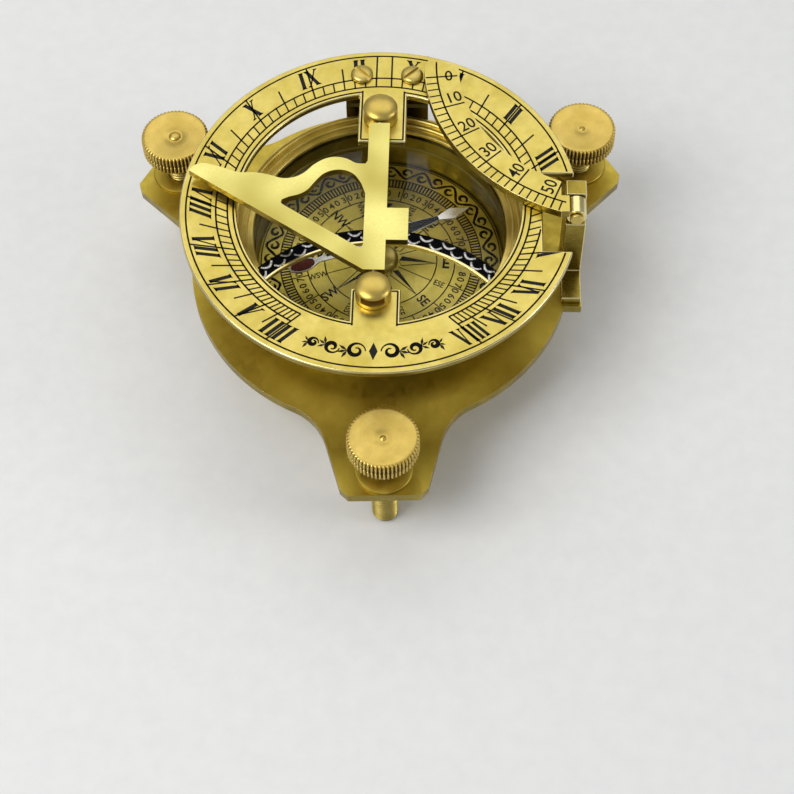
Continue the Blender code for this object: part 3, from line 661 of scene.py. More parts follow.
class Finish:
    """A Principled material whose colour, roughness and bump are worked out by nodes."""

    def __init__(self, name, metallic):
        self.material = bpy.data.materials.new(name)
        self.material.use_nodes = True
        self.tree = self.material.node_tree
        self.shader = self.tree.nodes["Principled BSDF"]
        self.feed(self.shader, Metallic=metallic)
        self.place = self.add("ShaderNodeTexCoord").outputs["Object"]

    def add(self, kind, **values):
        node = self.tree.nodes.new(kind)
        for key, value in values.items():
            setattr(node, key, value)
        return node

    def put(self, socket, value):
        """Links another node's output to the socket, or sets the socket's own value."""
        if isinstance(value, bpy.types.NodeSocket):
            self.tree.links.new(value, socket)
        else:
            socket.default_value = value

    def feed(self, node, **values):
        for key, value in values.items():
            self.put(node.inputs[key.replace("_", " ")], value)

    def stretched(self, scale):
        node = self.add("ShaderNodeMapping")
        self.feed(node, Vector=self.place, Scale=scale)
        return node.outputs["Vector"]

    def about_axis(self):
        """(distance from the piece's own upright axis, height, 0): even all the way round."""
        split = self.add("ShaderNodeSeparateXYZ")
        self.feed(split, Vector=self.place)
        flat = self.add("ShaderNodeCombineXYZ")
        self.feed(flat, X=split.outputs["X"], Y=split.outputs["Y"])
        length = self.add("ShaderNodeVectorMath", operation="LENGTH")
        self.feed(length, Vector=flat.outputs["Vector"])
        joined = self.add("ShaderNodeCombineXYZ")
        self.feed(joined, X=length.outputs["Value"], Y=split.outputs["Z"])
        return joined.outputs["Vector"]

    def noise(self, size, where=None, detail=4.0, rough=0.6):
        """Noise with features about size millimetres across."""
        node = self.add("ShaderNodeTexNoise")
        self.feed(node, Vector=where or self.place, Scale=1.0 / (size * MM), Detail=detail, Roughness=rough)
        return node.outputs["Fac"]

    def remap(self, value, low, high, to_low, to_high):
        node = self.add("ShaderNodeMapRange")
        self.feed(node, Value=value, From_Min=low, From_Max=high, To_Min=to_low, To_Max=to_high)
        return node.outputs["Result"]

    def painted_groove_shade(self, inner, outer, top):
        """Painted shade for grooves: thickest at the inner radius about the piece's own axis, gone at the
        outer one and above top.
        """
        split = self.add("ShaderNodeSeparateXYZ")
        self.feed(split, Vector=self.about_axis())
        deep = self.remap(split.outputs["X"], inner * MM, outer * MM, 1.0, 0.0)
        near = self.remap(split.outputs["X"], (inner - 0.25) * MM, (inner - 0.1) * MM, 0.0, 1.0)
        low = self.remap(split.outputs["Y"], (top - 0.2) * MM, top * MM, 1.0, 0.0)
        return self.sum(self.sum(deep, near, "MULTIPLY"), low, "MULTIPLY")

    def mix(self, factor, one, other):
        node = self.add("ShaderNodeMix", data_type="RGBA")
        self.put(node.inputs[0], factor)
        for socket, colour in ((node.inputs[6], one), (node.inputs[7], other)):
            self.put(socket, (*colour, 1.0) if isinstance(colour, tuple) else colour)
        return node.outputs[2]

    def sum(self, one, other, operation="ADD"):
        node = self.add("ShaderNodeMath", operation=operation)
        self.put(node.inputs[0], one)
        self.put(node.inputs[1], other)
        return node.outputs[0]

    def done(self, colour, roughness, height, depth):
        bump = self.add("ShaderNodeBump")
        self.feed(bump, Strength=1.0, Distance=depth * MM, Height=height)
        self.feed(self.shader, Base_Color=colour, Roughness=roughness, Normal=bump.outputs["Normal"])
        return self.material


def glass():
    """Clear glass: almost unseen from above, and more and more of a mirror towards grazing angles."""
    look = Finish("clear_glass", 1.0)
    hue = look.mix(look.noise(9.0, detail=3.0), (0.90, 0.93, 0.92), (0.84, 0.88, 0.86))
    smears = look.remap(look.noise(5.0, detail=7.0), 0.4, 0.8, 0.015, 0.09)
    facing = look.add("ShaderNodeLayerWeight")
    look.feed(facing, Blend=0.5)
    seen = look.remap(facing.outputs["Facing"], 0.2, 1.0, 0.006, 0.6)
    look.feed(look.shader, Alpha=seen)
    return look.done(hue, smears, look.noise(14.0, detail=2.0), 0.0005)


def metal(name, colour, shade, roughness, grain, depth, finish="satin", patch=6.0, fleck=0.22, groove=None):
    """Brass or steel. Cloudy shade and a few tarnish spots lie under the grain of its finish.

    groove is (inner radius, outer radius, height): painted shade lies between them, below that height.
    """
    look = Finish(name, 1.0)
    cloud = look.remap(look.noise(patch, detail=6.0 if patch < 10.0 else 1.0), 0.35, 0.68, 0.0, 1.0)
    hue = look.mix(cloud, shade, colour)
    spots = look.remap(look.noise(2.1, detail=9.0, rough=0.75), 0.66, 0.76, 0.0, 0.55)
    hue = look.mix(spots, hue, tuple(c * 0.45 for c in shade))
    where = look.place
    if finish == "turned":
        where = look.about_axis()
    if finish == "brushed":
        where = look.stretched((0.05, 1.0, 1.0))
    lines = look.noise(grain, where, detail=3.0)
    speckle = look.noise(grain * 1.7, detail=2.0)
    height = look.sum(lines, look.sum(speckle, 0.5, "MULTIPLY"))
    hue = look.mix(look.remap(lines, 0.3, 0.7, 0.0, fleck), hue, shade)
    spread = look.remap(look.noise(1.4, detail=7.0), 0.3, 0.7, roughness * 0.8, roughness * 1.25)
    spread = look.sum(spread, look.remap(spots, 0.0, 1.0, 0.0, 0.2))
    if groove:
        # Painted shade: the grooves, and everything below the given height, are darkened towards near black
        # and made rougher.
        painted_groove_shade = look.painted_groove_shade(*groove)
        hue = look.mix(look.remap(painted_groove_shade, 0.0, 1.0, 0.0, 0.94), hue, (0.03, 0.02, 0.006))
        spread = look.sum(spread, look.remap(painted_groove_shade, 0.0, 1.0, 0.0, 0.3))
    return look.done(hue, spread, height, depth)


def paint(name, colour, other, roughness, size, depth=0.002, gloss=0.5):
    """Enamel, ink or paint: two near tones in patches, with slight unevenness in gloss and surface."""
    look = Finish(name, 0.0)
    look.feed(look.shader, Specular_IOR_Level=gloss)
    patch = look.remap(look.noise(size, detail=6.0), 0.35, 0.65, 0.0, 1.0)
    hue = look.mix(patch, colour, other)
    spread = look.remap(look.noise(size * 0.5, detail=5.0), 0.3, 0.7, roughness * 0.75, roughness * 1.3)
    return look.done(hue, spread, look.noise(size * 0.25, detail=3.0), depth)


def make_finishes():
    light, dark = (0.77, 0.635, 0.185), (0.60, 0.475, 0.10)
    under_head = KNOB_TOP - PLATE_T - 0.45
    # Where the knurls and the threads get painted shade in their grooves.
    knurls = (KNOB_R - 0.5, KNOB_R - 0.08, under_head)
    threads = (SCREW_R - THREAD_DEPTH, SCREW_R - 0.06, under_head)
    return {
        "plate": metal("satin_plate", (0.62, 0.48, 0.085), (0.48, 0.36, 0.05), 0.4, 0.2, 0.014, fleck=0.6),
        # side: a darker copy of the brass for side faces. The darkness is painted shade, standing for the
        # dark surroundings they reflect.
        "side": metal("side_brass_painted_shade", (0.42, 0.32, 0.06), (0.24, 0.18, 0.03), 0.34, 0.25, 0.006, "brushed"),
        # rim: bright brass. On bevelled edges its colour is a painted highlight. It is also the whole finish
        # of the latitude knuckle and of the stop strip's body.
        "rim": metal("bright_brass_edge_highlight", (0.93, 0.83, 0.46), (0.80, 0.67, 0.28), 0.22, 0.3, 0.002),
        "ring": metal("ring_face", light, dark, 0.33, 0.3, 0.006, fleck=0.3),
        "gnomon": metal("gnomon_face", (0.82, 0.75, 0.26), (0.46, 0.39, 0.09), 0.2, 0.3, 0.003, patch=15.0),
        "knob": metal("turned_knob", (0.78, 0.59, 0.165), (0.62, 0.45, 0.10), 0.36, 0.22, 0.008, "turned"),
        "knurl": metal("knurled_knob", (0.80, 0.60, 0.17), (0.62, 0.44, 0.10), 0.36, 0.24, 0.014,
                       "turned", fleck=0.45, groove=knurls),
        "flange": metal("flange_brass", (0.60, 0.46, 0.085), (0.44, 0.33, 0.05), 0.42, 0.2, 0.008, "turned"),
        "bezel": metal("bezel_face", (0.90, 0.74, 0.27), (0.56, 0.43, 0.1), 0.38, 0.3, 0.014, "turned",
                       fleck=0.7),
        "bowl": metal("bowl_wall", (0.42, 0.34, 0.09), (0.22, 0.17, 0.04), 0.36, 0.2, 0.004, "turned"),
        "thread": metal("thread_brass", (0.74, 0.58, 0.18), (0.52, 0.4, 0.1), 0.3, 0.2, 0.004,
                        groove=threads),
        "screw": metal("screw_brass", (0.78, 0.62, 0.20), (0.58, 0.44, 0.12), 0.38, 0.2, 0.005, "brushed"),
        # bracket: brass darkened as painted shade, standing for the shadow on the bracket's faces.
        "bracket": metal("bracket_brass_painted_shade", (0.42, 0.32, 0.06), (0.22, 0.16, 0.022), 0.27, 0.2, 0.004,
                         "brushed"),
        # aged: near-black brass for the hinge block and leaf. The darkness is painted shade where they lie
        # under the ring.
        "under_ring_shade": metal("brass_painted_shade_under_ring", (0.20, 0.15, 0.035), (0.09, 0.065, 0.015), 0.36, 0.2, 0.005, "brushed"),
        "card": metal("card_face", (0.66, 0.55, 0.13), (0.48, 0.39, 0.07), 0.42, 0.12, 0.003),
        "steel": metal("needle_steel", (0.88, 0.88, 0.85), (0.72, 0.72, 0.69), 0.28, 0.4, 0.001, fleck=0.1),
        # blued: near-black steel laid on the needle as painted shade and painted dark reflection.
        "ridge_shade": metal("needle_steel_painted_shade", (0.03, 0.03, 0.032), (0.015, 0.016, 0.018), 0.34, 0.3, 0.001,
                       fleck=0.1),
        "pin": metal("pin_steel", (0.40, 0.37, 0.27), (0.24, 0.22, 0.15), 0.3, 0.2, 0.003, "turned"),
        "ink": paint("black_fill", (0.006, 0.006, 0.006), (0.016, 0.014, 0.011), 0.5, 0.6, gloss=0.2),
        "enamel": paint("black_enamel", (0.004, 0.005, 0.01), (0.008, 0.009, 0.014), 0.5, 1.5, gloss=0.08),
        "white": metal("silvery", (0.97, 0.97, 0.95), (0.9, 0.9, 0.87), 0.34, 0.3, 0.001, fleck=0.1),
        "red": paint("red_lacquer", (0.13, 0.012, 0.008), (0.075, 0.008, 0.006), 0.2, 0.8),
        "glass": glass(),
        "floor": paint("pale_floor", (0.86, 0.86, 0.85), (0.83, 0.83, 0.825), 0.6, 4.0, 0.01),
    }


# ---- base


def build_plate():
    holes = [circle(p, BUSH_HOLE_R, ROUND) for _, p in screw_places()]
    loops = [plate_outline()] + holes
    plate = prism("plate", loops, 0.0, PLATE_T, ["plate", "side", "rim"])
    round_edges(plate, 0.22, 3, 2)
    stands_for(plate, "base", "satin_brass", "base_plate")


def thread_rows(low, high, tip):
    """Rows of a right-hand thread, chamfered at its lower end."""
    rows = []
    steps = 40
    layers = int((high - low) / THREAD_PITCH * 10)
    for k in range(layers + 1):
        z = low + (high - low) * k / layers
        limit = SCREW_R - max(0.0, tip - (z - low))
        row = []
        for i in range(steps):
            angle = 2 * math.pi * i / steps
            phase = ((z - low) / THREAD_PITCH - i / steps) % 1.0
            crest = min(1.0, max(0.0, (abs(2 * phase - 1) - 0.12) / 0.72))
            radius = min(limit, SCREW_R - THREAD_DEPTH * (1 - crest))
            row.append((radius * math.cos(angle), radius * math.sin(angle), z))
        rows.append(row)
    return rows


def knob_profile(style):
    """(radius, height, depth of the knurl there), from the middle of the top outwards and down."""
    if style == "rivet":
        middle = [(0.35, -0.02), (0.8, -0.08), (1.1, -0.3), (1.2, -0.5), (1.45, -0.52), (1.7, -0.42)]
    else:
        middle = [(0.2, -0.2), (0.45, -0.42), (0.7, -0.52), (1.0, -0.47), (1.5, -0.36), (2.0, -0.28)]
    middle += [(3.2, -0.2), (5.0, -0.08), (5.7, -0.01), (6.0, 0.0)]
    rows = [(r, z, 0.0) for r, z in middle]
    rows += [(6.3, -0.06, 0.3), (KNOB_R - 0.1, -0.3, 0.8), (KNOB_R, -0.5, 1.0), (KNOB_R, -1.9, 1.0)]
    rows += [(KNOB_R - 0.25, -2.05, 0.6), (KNOB_R - 0.55, -2.12, 0.0), (KNOB_R - 0.55, -2.28, 0.0)]
    rows += [(KNOB_R - 0.25, -2.35, 0.6), (KNOB_R, -2.5, 1.0), (KNOB_R, -3.95, 1.0)]
    rows += [(KNOB_R - 0.2, -4.2, 0.8), (KNOB_R - 0.5, -4.38, 0.0), (5.6, -4.42, 0.0)]
    rows += [(4.0, -4.5, 0.0), (3.65, -4.7, 0.0), (3.5, -5.1, 0.0)]
    rows = [(r, KNOB_TOP + z, knurl) for r, z, knurl in rows]
    return rows + [(r, z, 0.0) for r, z in raised(NECK_FOOT, (3.15, 0.5), (3.0, 0.15), (2.85, 0.0))]


def knob_rows(style):
    steps = KNURLS * 6
    rows = []
    for radius, z, knurl in knob_profile(style):
        row = []
        for i in range(steps):
            angle = 2 * math.pi * i / steps
            dip = 0.5 - 0.5 * math.cos(KNURLS * angle)
            r = radius - KNURL_DEPTH * knurl * dip**1.6
            row.append((r * math.cos(angle), r * math.sin(angle), z))
        rows.append(row)
    return rows


def build_levelling_screws():
    bush = [(SCREW_R + GAP, -3.2), (3.0, -3.2), (3.1, -3.1), (3.5, -0.4), (BUSH_HOLE_R - GAP, -0.4)]
    bush += raised(DECK, (BUSH_HOLE_R - GAP, 0.0), (5.5, 0.0), (5.5, 0.3), (5.38, 0.45), (5.2, 0.5))
    bush += raised(DECK, (3.6, 0.5), (3.35, 0.42), (SCREW_R + GAP, 0.3))
    styles = {"front": "cone", "rear_right": "cone", "rear_left": "rivet"}
    for name, place in screw_places():
        at = (*place, PLATE_T)
        flange = turned("flange_" + name, bush, ["flange"], at)
        stands_for(flange, "base", "satin_brass", "bush_" + name)
        rows = thread_rows(SCREW_TIP, NECK_FOOT - GAP, 0.9)
        stem = grid("stem_" + name, rows, ["thread"], at, sharp=60.0)
        stands_for(stem, "stem_" + name, "turned_brass", "screw_" + name)
        head = grid("head_" + name, knob_rows(styles[name]), ["knurl"], at, sharp=50.0)
        stands_for(head, "head_" + name, "turned_brass", "knob_" + name)


# ---- compass


def build_case():
    wall = [(BOWL_IN, DECK), (BOWL_OUT, DECK), (BOWL_OUT, DECK + 0.5), (BOWL_OUT - 0.15, DECK + 0.7)]
    wall += [(BOWL_OUT - 0.15, BOWL_TOP), (BOWL_IN + 0.3, BOWL_TOP), (BOWL_IN + 0.3, 8.2)]
    wall += [(BOWL_IN + 0.05, 7.9), (BOWL_IN + 0.05, 4.4), (BOWL_IN, 4.2)]
    bowl = turned("bowl", wall, ["bowl"], steps=FINE)
    stands_for(bowl, "base", "satin_brass", "compass_bowl")
    glass_floor = BOWL_TOP + GAP
    glass_top = glass_floor + 1.0
    pane = [(0.0, glass_floor), (GLASS_R - 0.15, glass_floor), (GLASS_R, glass_floor + 0.15)]
    pane += [(GLASS_R, glass_top - 0.15), (GLASS_R - 0.15, glass_top), (0.0, glass_top)]
    glass = turned("glass", pane, ["glass"], steps=FINE)
    stands_for(glass, "base", "clear_glass", "compass_glass")
    lip = glass_top + GAP
    bezel = [(BEZEL_LIP, lip), (BOWL_OUT + 0.2, lip), (BOWL_OUT + 0.2, BEZEL_SKIRT)]
    bezel += [(BEZEL_R - 0.2, BEZEL_SKIRT), (BEZEL_R, BEZEL_SKIRT + 0.2)]
    bezel += [ (BEZEL_R, BEZEL_TOP - 0.9), (BEZEL_R - 0.2, BEZEL_TOP - 0.35)]
    bezel += [(BEZEL_R - 0.6, BEZEL_TOP), (26.9, BEZEL_TOP), (26.7, BEZEL_TOP - 0.15)]
    bezel += [(26.65, BEZEL_TOP - 0.6), (25.8, BEZEL_TOP - 0.6), (25.6, BEZEL_TOP - 0.72)]
    bezel += [(25.55, BEZEL_TOP - 1.2), (BEZEL_LIP + 0.15, BEZEL_TOP - 1.25), (BEZEL_LIP, BEZEL_TOP - 1.4)]
    ring = turned("bezel", bezel, ["bezel"], steps=FINE)
    stands_for(ring, "base", "turned_brass", "compass_bezel")


def compass_marks():
    marks = Marks(CARD_TOP)
    for radius in (ROSE_R, LETTERS_R, NUMBERS_R, TICKS_R, BORDER_R):
        marks.line(ORIGIN, radius, CARD_LINE_W)
    for k in range(180):
        marks.band(ORIGIN, NUMBERS_R, TICKS_R, 2.0 * k - 0.55, 2.0 * k + 0.55)
    for quadrant in range(4):
        for tens in range(10):
            if tens == 0 and quadrant % 2:
                continue
            if tens == 9 and quadrant % 2 == 0:
                continue
            shown = tens if quadrant % 2 == 0 else 9 - tens
            bearing = 90.0 * quadrant + 10.0 * tens
            up = 90.0 - bearing
            digits = str(10 * shown)
            for order, digit in enumerate(digits):
                facing = up - (order - (len(digits) - 1) / 2) * DIGIT_STEP
                spot = turn(((LETTERS_R + NUMBERS_R) / 2, 0.0), facing)
                marks.text(digit, 2.05, spot, facing, 0.04)
            if shown in (1, 3, 5, 7):
                marks.ray(ORIGIN, LETTERS_R, NUMBERS_R, up, CARD_LINE_W)
    points = ("N", "NNE", "NE", "ENE", "E", "ESE", "SE", "SSE")
    points += ("S", "SSW", "SW", "WSW", "W", "WNW", "NW", "NNW")
    middle_r = (ROSE_R + LETTERS_R) / 2
    for k, words in enumerate(points):
        radial = 90.0 - 22.5 * k
        size, bold, squeeze = (1.85, 0.03, 0.82) if k % 2 else (2.7, 0.07, 0.9)
        if k % 4 == 0:
            size, bold, squeeze = 3.3, 0.1, 0.9
        quarter = 90.0 if k <= 8 else -90.0
        marks.text(words, size, turn((middle_r, 0.0), radial), radial + quarter, bold, squeeze)
    build_rose(marks)
    build_arabesque(marks)
    return marks


def build_rose(marks):
    """Half-filled spears to the eight winds, with a fine line to each point between them."""
    for k in range(16):
        angle = 90.0 - 22.5 * k
        if k % 2:
            marks.ray(ORIGIN, 3.9, ROSE_R, angle, 0.2)
            continue
        half = 1.15 if k % 4 == 0 else 1.0
        tip = ROSE_R - 0.1
        waist = 4.2
        marks.shape([turn(p, angle) for p in ((3.6, 0.0), (waist, half), (tip, 0.0))])
        marks.stroke([turn(p, angle) for p in ((tip, 0.0), (waist, -half), (3.6, -0.2))], [0.18] * 3)


def build_arabesque(marks):
    """A running vine round the edge of the card, with a curl and leaves in each of its bends."""
    middle = (TICKS_R + BORDER_R) / 2
    width = 2 * math.pi * middle / VINE_BENDS

    def at(u, v):
        return turn((middle + v, 0.0), math.degrees(u / middle))

    steps = 8 * VINE_BENDS
    vine = [at(s * width / 8, 1.15 * math.sin(math.pi * s / 8)) for s in range(steps + 1)]
    marks.stroke(vine, [0.38 + 0.22 * math.cos(math.pi * s / 8) ** 2 for s in range(steps + 1)])
    for k in range(VINE_BENDS):
        side = -1 if k % 2 else 1
        centre = (k + 0.5) * width
        curl = []
        for s in range(17):
            spin = math.pi * (1.0 + side * 1.75 * s / 16)
            reach = 1.05 - 0.75 * s / 16
            curl.append(at(centre + reach * math.cos(spin), reach * math.sin(spin) - side * 0.25))
        marks.stroke(curl, [0.3 + 0.36 * math.sin(math.pi * s / 16) for s in range(17)])
        for lean in (-0.95, 0.0, 0.95):
            tip = Vector((centre + 0.85 * math.sin(lean), side * (1.05 + 0.6 * math.cos(lean))))
            root = Vector((centre, side * 0.95))
            half = Vector((root.y - tip.y, tip.x - root.x)) * 0.3
            bulge = root.lerp(tip, 0.5)
            marks.shape([at(*point) for point in (root, bulge + half, tip, bulge - half)])


def build_card():
    loops = [circle((0, 0), CARD_R, FINE), circle((0, 0), 1.3, 32)]
    card = prism("card", loops, DECK, CARD_TOP, ["card", "card"])
    stands_for(round_edges(card, 0.1), "base", "card_brass", "compass_card")
    marks = compass_marks().build("card_print", "ink")
    marks.data.transform(Matrix.Rotation(math.radians(CARD_TURN), 4, "Z"))
    stands_for(marks, "base", "card_brass")
    seat = CARD_TOP + GAP
    pivot = [(0.0, 9.75), (0.12, 9.5), (0.3, 8.6), (0.5, 7.0)]
    pivot += raised(seat, (0.6, 2.2), (0.75, 1.5), (1.2, 1.25), (2.2, 1.15), (2.9, 0.95), (3.3, 0.6))
    pivot += raised(seat, (3.5, 0.2), (3.5, 0.0), (1.1, 0.0))
    pivot += [(1.1, PLATE_T - 0.9), (0.0, PLATE_T - 0.9)]
    stands_for(turned("pivot", pivot, ["bezel"]), "base", "turned_brass", "needle_pivot")


def build_needle():
    at = (0.0, 0.0, NEEDLE_Z)
    top = NEEDLE_Z + NEEDLE_T
    outline = [turn(p, NEEDLE_HEADING) for p in needle_outline()]
    blade = prism("needle", [outline, circle((0, 0), 1.2, 32)], NEEDLE_Z, top, ["steel"], at=at)
    stands_for(round_edges(blade, 0.09, 2), "needle", "needle_steel", "compass_needle")
    # Painted shade: a near-black overlay over the shaft and over one half of the tail. It stands for the
    # shaft's dark reflection and the shaded side of the needle's ridge.
    shaft = [(12.4, 0.48), (4.5, 1.4), (-4.5, 1.4), (-11.2, 0.62), (-11.2, 0.0)]
    shaft += [(0.0, -0.1), (4.5, -1.4), (12.4, -0.48)]
    shaft = [turn(p, NEEDLE_HEADING) for p in shaft]
    ridge_shade = prism("needle_shaft", [shaft], top - 0.02, top + 0.03, ["ridge_shade"], at=at)
    stands_for(ridge_shade, "needle", "needle_steel")
    oval = [turn((-16.2 + 2.45 * x, 1.32 * y), NEEDLE_HEADING) for x, y in circle((0, 0), 1.0, 40)]
    lacquer = prism("needle_tail", [oval], top - 0.02, top + 0.05, ["red"], at=at)
    stands_for(round_edges(lacquer, 0.03, 2), "needle", "needle_steel")
    seat = top + GAP
    cap = raised(seat, (0.0, 0.9), (0.4, 0.88), (1.0, 0.72), (1.5, 0.5), (1.9, 0.25), (2.0, 0.0), (1.1, 0.0))
    cap += [(1.1, NEEDLE_Z - 0.5), (0.85, NEEDLE_Z - 0.5), (0.0, seat + 0.2)]
    stands_for(turned("cap", cap, ["screw"], at), "needle", "turned_brass", "needle_cap")


# ---- hour ring


def hinge_at():
    return (HINGE_X, HINGE_Y, HINGE_Z)


def on_ray(side, degrees, radius):
    """Where an hour's ray crosses a circle about the dial's centre. Side 1 is west and -1 is east."""
    foot = Vector((-side * HOUR_FOOT[0], HOUR_FOOT[1]))
    way = Vector((-side * math.sin(math.radians(degrees)), math.cos(math.radians(degrees))))
    along = foot.dot(way)
    return foot + way * (math.sqrt(radius**2 - foot.length_squared + along**2) - along)


def on_dial(side, degrees):
    """A numeral's own axes: it stands on its hour line, with its head towards the dial's centre."""

    def place(x, y):
        point = on_ray(side, degrees, NUMERAL_R - y)
        return turn(point, math.degrees(x / point.length))

    return place


def ring_marks():
    """Lines, minute track, hour lines, numerals and an ornament, drawn to be read from outside."""
    marks = Marks(RING_TOP)
    notch_s = math.degrees(math.asin(NOTCH_SOUTH / RIM_LINE)) - 0.6
    notch_n = math.degrees(math.asin(NOTCH_NORTH / RIM_LINE)) + 0.6
    marks.line(ORIGIN, RIM_LINE, LINE_W, notch_n, 360.0 + notch_s)
    clear = math.degrees(math.asin((TAB_HALF - 0.5) / INNER_LINE))
    marks.line(ORIGIN, INNER_LINE, LINE_W, -90.0 + clear, 90.0 - clear)
    marks.line(ORIGIN, INNER_LINE, LINE_W, 90.0 + clear, 270.0 - clear)
    brink = math.degrees(math.acos((NOTCH_X - 0.25) / (BAND_LINE + LINE_W / 2)))
    for radius, gap in ((BAND_LINE, brink), (TRACK_LINE, 0.0)):
        end = angle_to(on_ray(1, LAST_HOUR * HOUR_STEP, radius))
        marks.line(ORIGIN, radius, LINE_W, 90.0, end + (360.0 if end < 0 else 0.0))
        end = angle_to(on_ray(-1, LAST_HOUR * HOUR_STEP, radius))
        marks.line(ORIGIN, radius, LINE_W, gap, 90.0)
        marks.line(ORIGIN, radius, LINE_W, end, -gap)
    for side, names in ((1, MORNING), (-1, AFTERNOON)):
        marks_of_hours(marks, side, names)
    for side, degrees, letters in ((-1, 5.0, "X"), (1, 4.2, "II")):
        marks.numeral(letters, on_dial(side, degrees), NUMERAL_HEIGHT, 2 * NUMERAL_HEIGHT)
    tab_outline(marks, NORTH_TAB_END, 1)
    tab_outline(marks, SOUTH_TAB_END, -1)
    ring_ornament(marks)
    return marks


def marks_of_hours(marks, side, names):
    """The hours of one side. On the east, the fourth falls in the notch, which cuts into the fifth."""
    for hour in range(LAST_HOUR + 1):
        degrees = hour * HOUR_STEP
        in_notch = side < 0 and hour == NOTCH_HOUR
        marks.south_of = NOTCH_SOUTH - 0.3 if side < 0 and hour == NOTCH_HOUR + 1 else None
        if not in_notch:
            ray_line(marks, side, degrees, BAND_LINE, RIM_LINE, LINE_W)
            if hour:
                before = on_ray(side, degrees - HOUR_STEP / 2, NUMERAL_R)
                after = on_ray(side, degrees + HOUR_STEP / 2, NUMERAL_R)
                room = NUMERAL_SHARE * (after - before).length
                marks.numeral(names[hour - 1], on_dial(side, degrees), NUMERAL_HEIGHT, room)
        marks.south_of = None
        ray_line(marks, side, degrees, TRACK_LINE, BAND_LINE, LINE_W)
        if hour == LAST_HOUR:
            continue
        for cell in range(1, HOUR_CELLS):
            between = degrees + HOUR_STEP * cell / HOUR_CELLS
            ray_line(marks, side, between, TRACK_LINE, BAND_LINE, LINE_W * 0.9)
        if side > 0 or hour not in (NOTCH_HOUR - 1, NOTCH_HOUR):
            ray_line(marks, side, degrees + HOUR_STEP / 2, BAND_LINE, BAND_LINE + 3.2, LINE_W)


def ray_line(marks, side, degrees, inner, outer, width):
    marks.stroke([on_ray(side, degrees, inner), on_ray(side, degrees, outer)], [width, width])


def tab_outline(marks, end, side):
    """A line just inside a tab's edges."""
    inset = 0.55
    x = TAB_HALF - inset
    y = end + side * inset
    root = side * INNER_LINE
    path = [(-x, root), (-x, y), (x, y), (x, root)]
    for start, finish in zip(path, path[1:]):
        marks.stroke([start, finish], [LINE_W, LINE_W])


def ring_ornament(marks):
    """A scrolled flourish on the south of the ring, in place of lettering."""

    def at(u, v, side):
        return turn((ORNAMENT_R - v, 0.0), -90.0 + side * math.degrees(u / ORNAMENT_R))

    diamond = [(-0.8, 0.0), (0.0, 1.9), (0.8, 0.0), (0.0, -1.9)]
    marks.shape([at(u, v, 1) for u, v in diamond])
    for side in (-1, 1):
        for k, (start, size) in enumerate(((1.4, 1.75), (6.2, 1.4), (10.2, 1.0))):
            flip = 1 if k % 2 == 0 else -1
            wave = []
            for s in range(25):
                t = s / 24
                spin = math.pi * (1.0 - 2.6 * t)
                reach = size * (1.0 - 0.72 * t)
                wave.append((start + size + reach * math.cos(spin), flip * reach * math.sin(spin)))
            points = [at(u, v, side) for u, v in wave]
            widths = [0.24 + 0.62 * math.sin(math.pi * s / 24) ** 2 for s in range(25)]
            marks.stroke(points, widths)
            for lean in (-0.5, 0.35, 1.15):
                root = (start + size * 1.9, -flip * 0.2)
                tip = (root[0] + 1.9 * math.cos(lean) * size / 1.7, root[1] - flip * 1.9 * math.sin(lean))
                side_way = (-(tip[1] - root[1]) * 0.16, (tip[0] - root[0]) * 0.16)
                mid = ((root[0] + tip[0]) / 2, (root[1] + tip[1]) / 2)
                leaf = [root, (mid[0] + side_way[0], mid[1] + side_way[1]), tip]
                leaf += [(mid[0] - side_way[0], mid[1] - side_way[1])]
                marks.shape([at(u, v, side) for u, v in leaf])


def build_ring():
    outer, opening = ring_outlines()
    looks = ["ring", "side", "rim"]
    ring = prism("dial_ring", [outer, opening], RING_FLOOR, RING_TOP, looks, at=hinge_at())
    round_edges(ring, 0.28, 3, 2)
    stands_for(ring, "ring", "bright_brass", "hour_ring")
    marks = ring_marks().build("dial_engraving", "ink", hinge_at())
    stands_for(marks, "ring", "black_enamel")


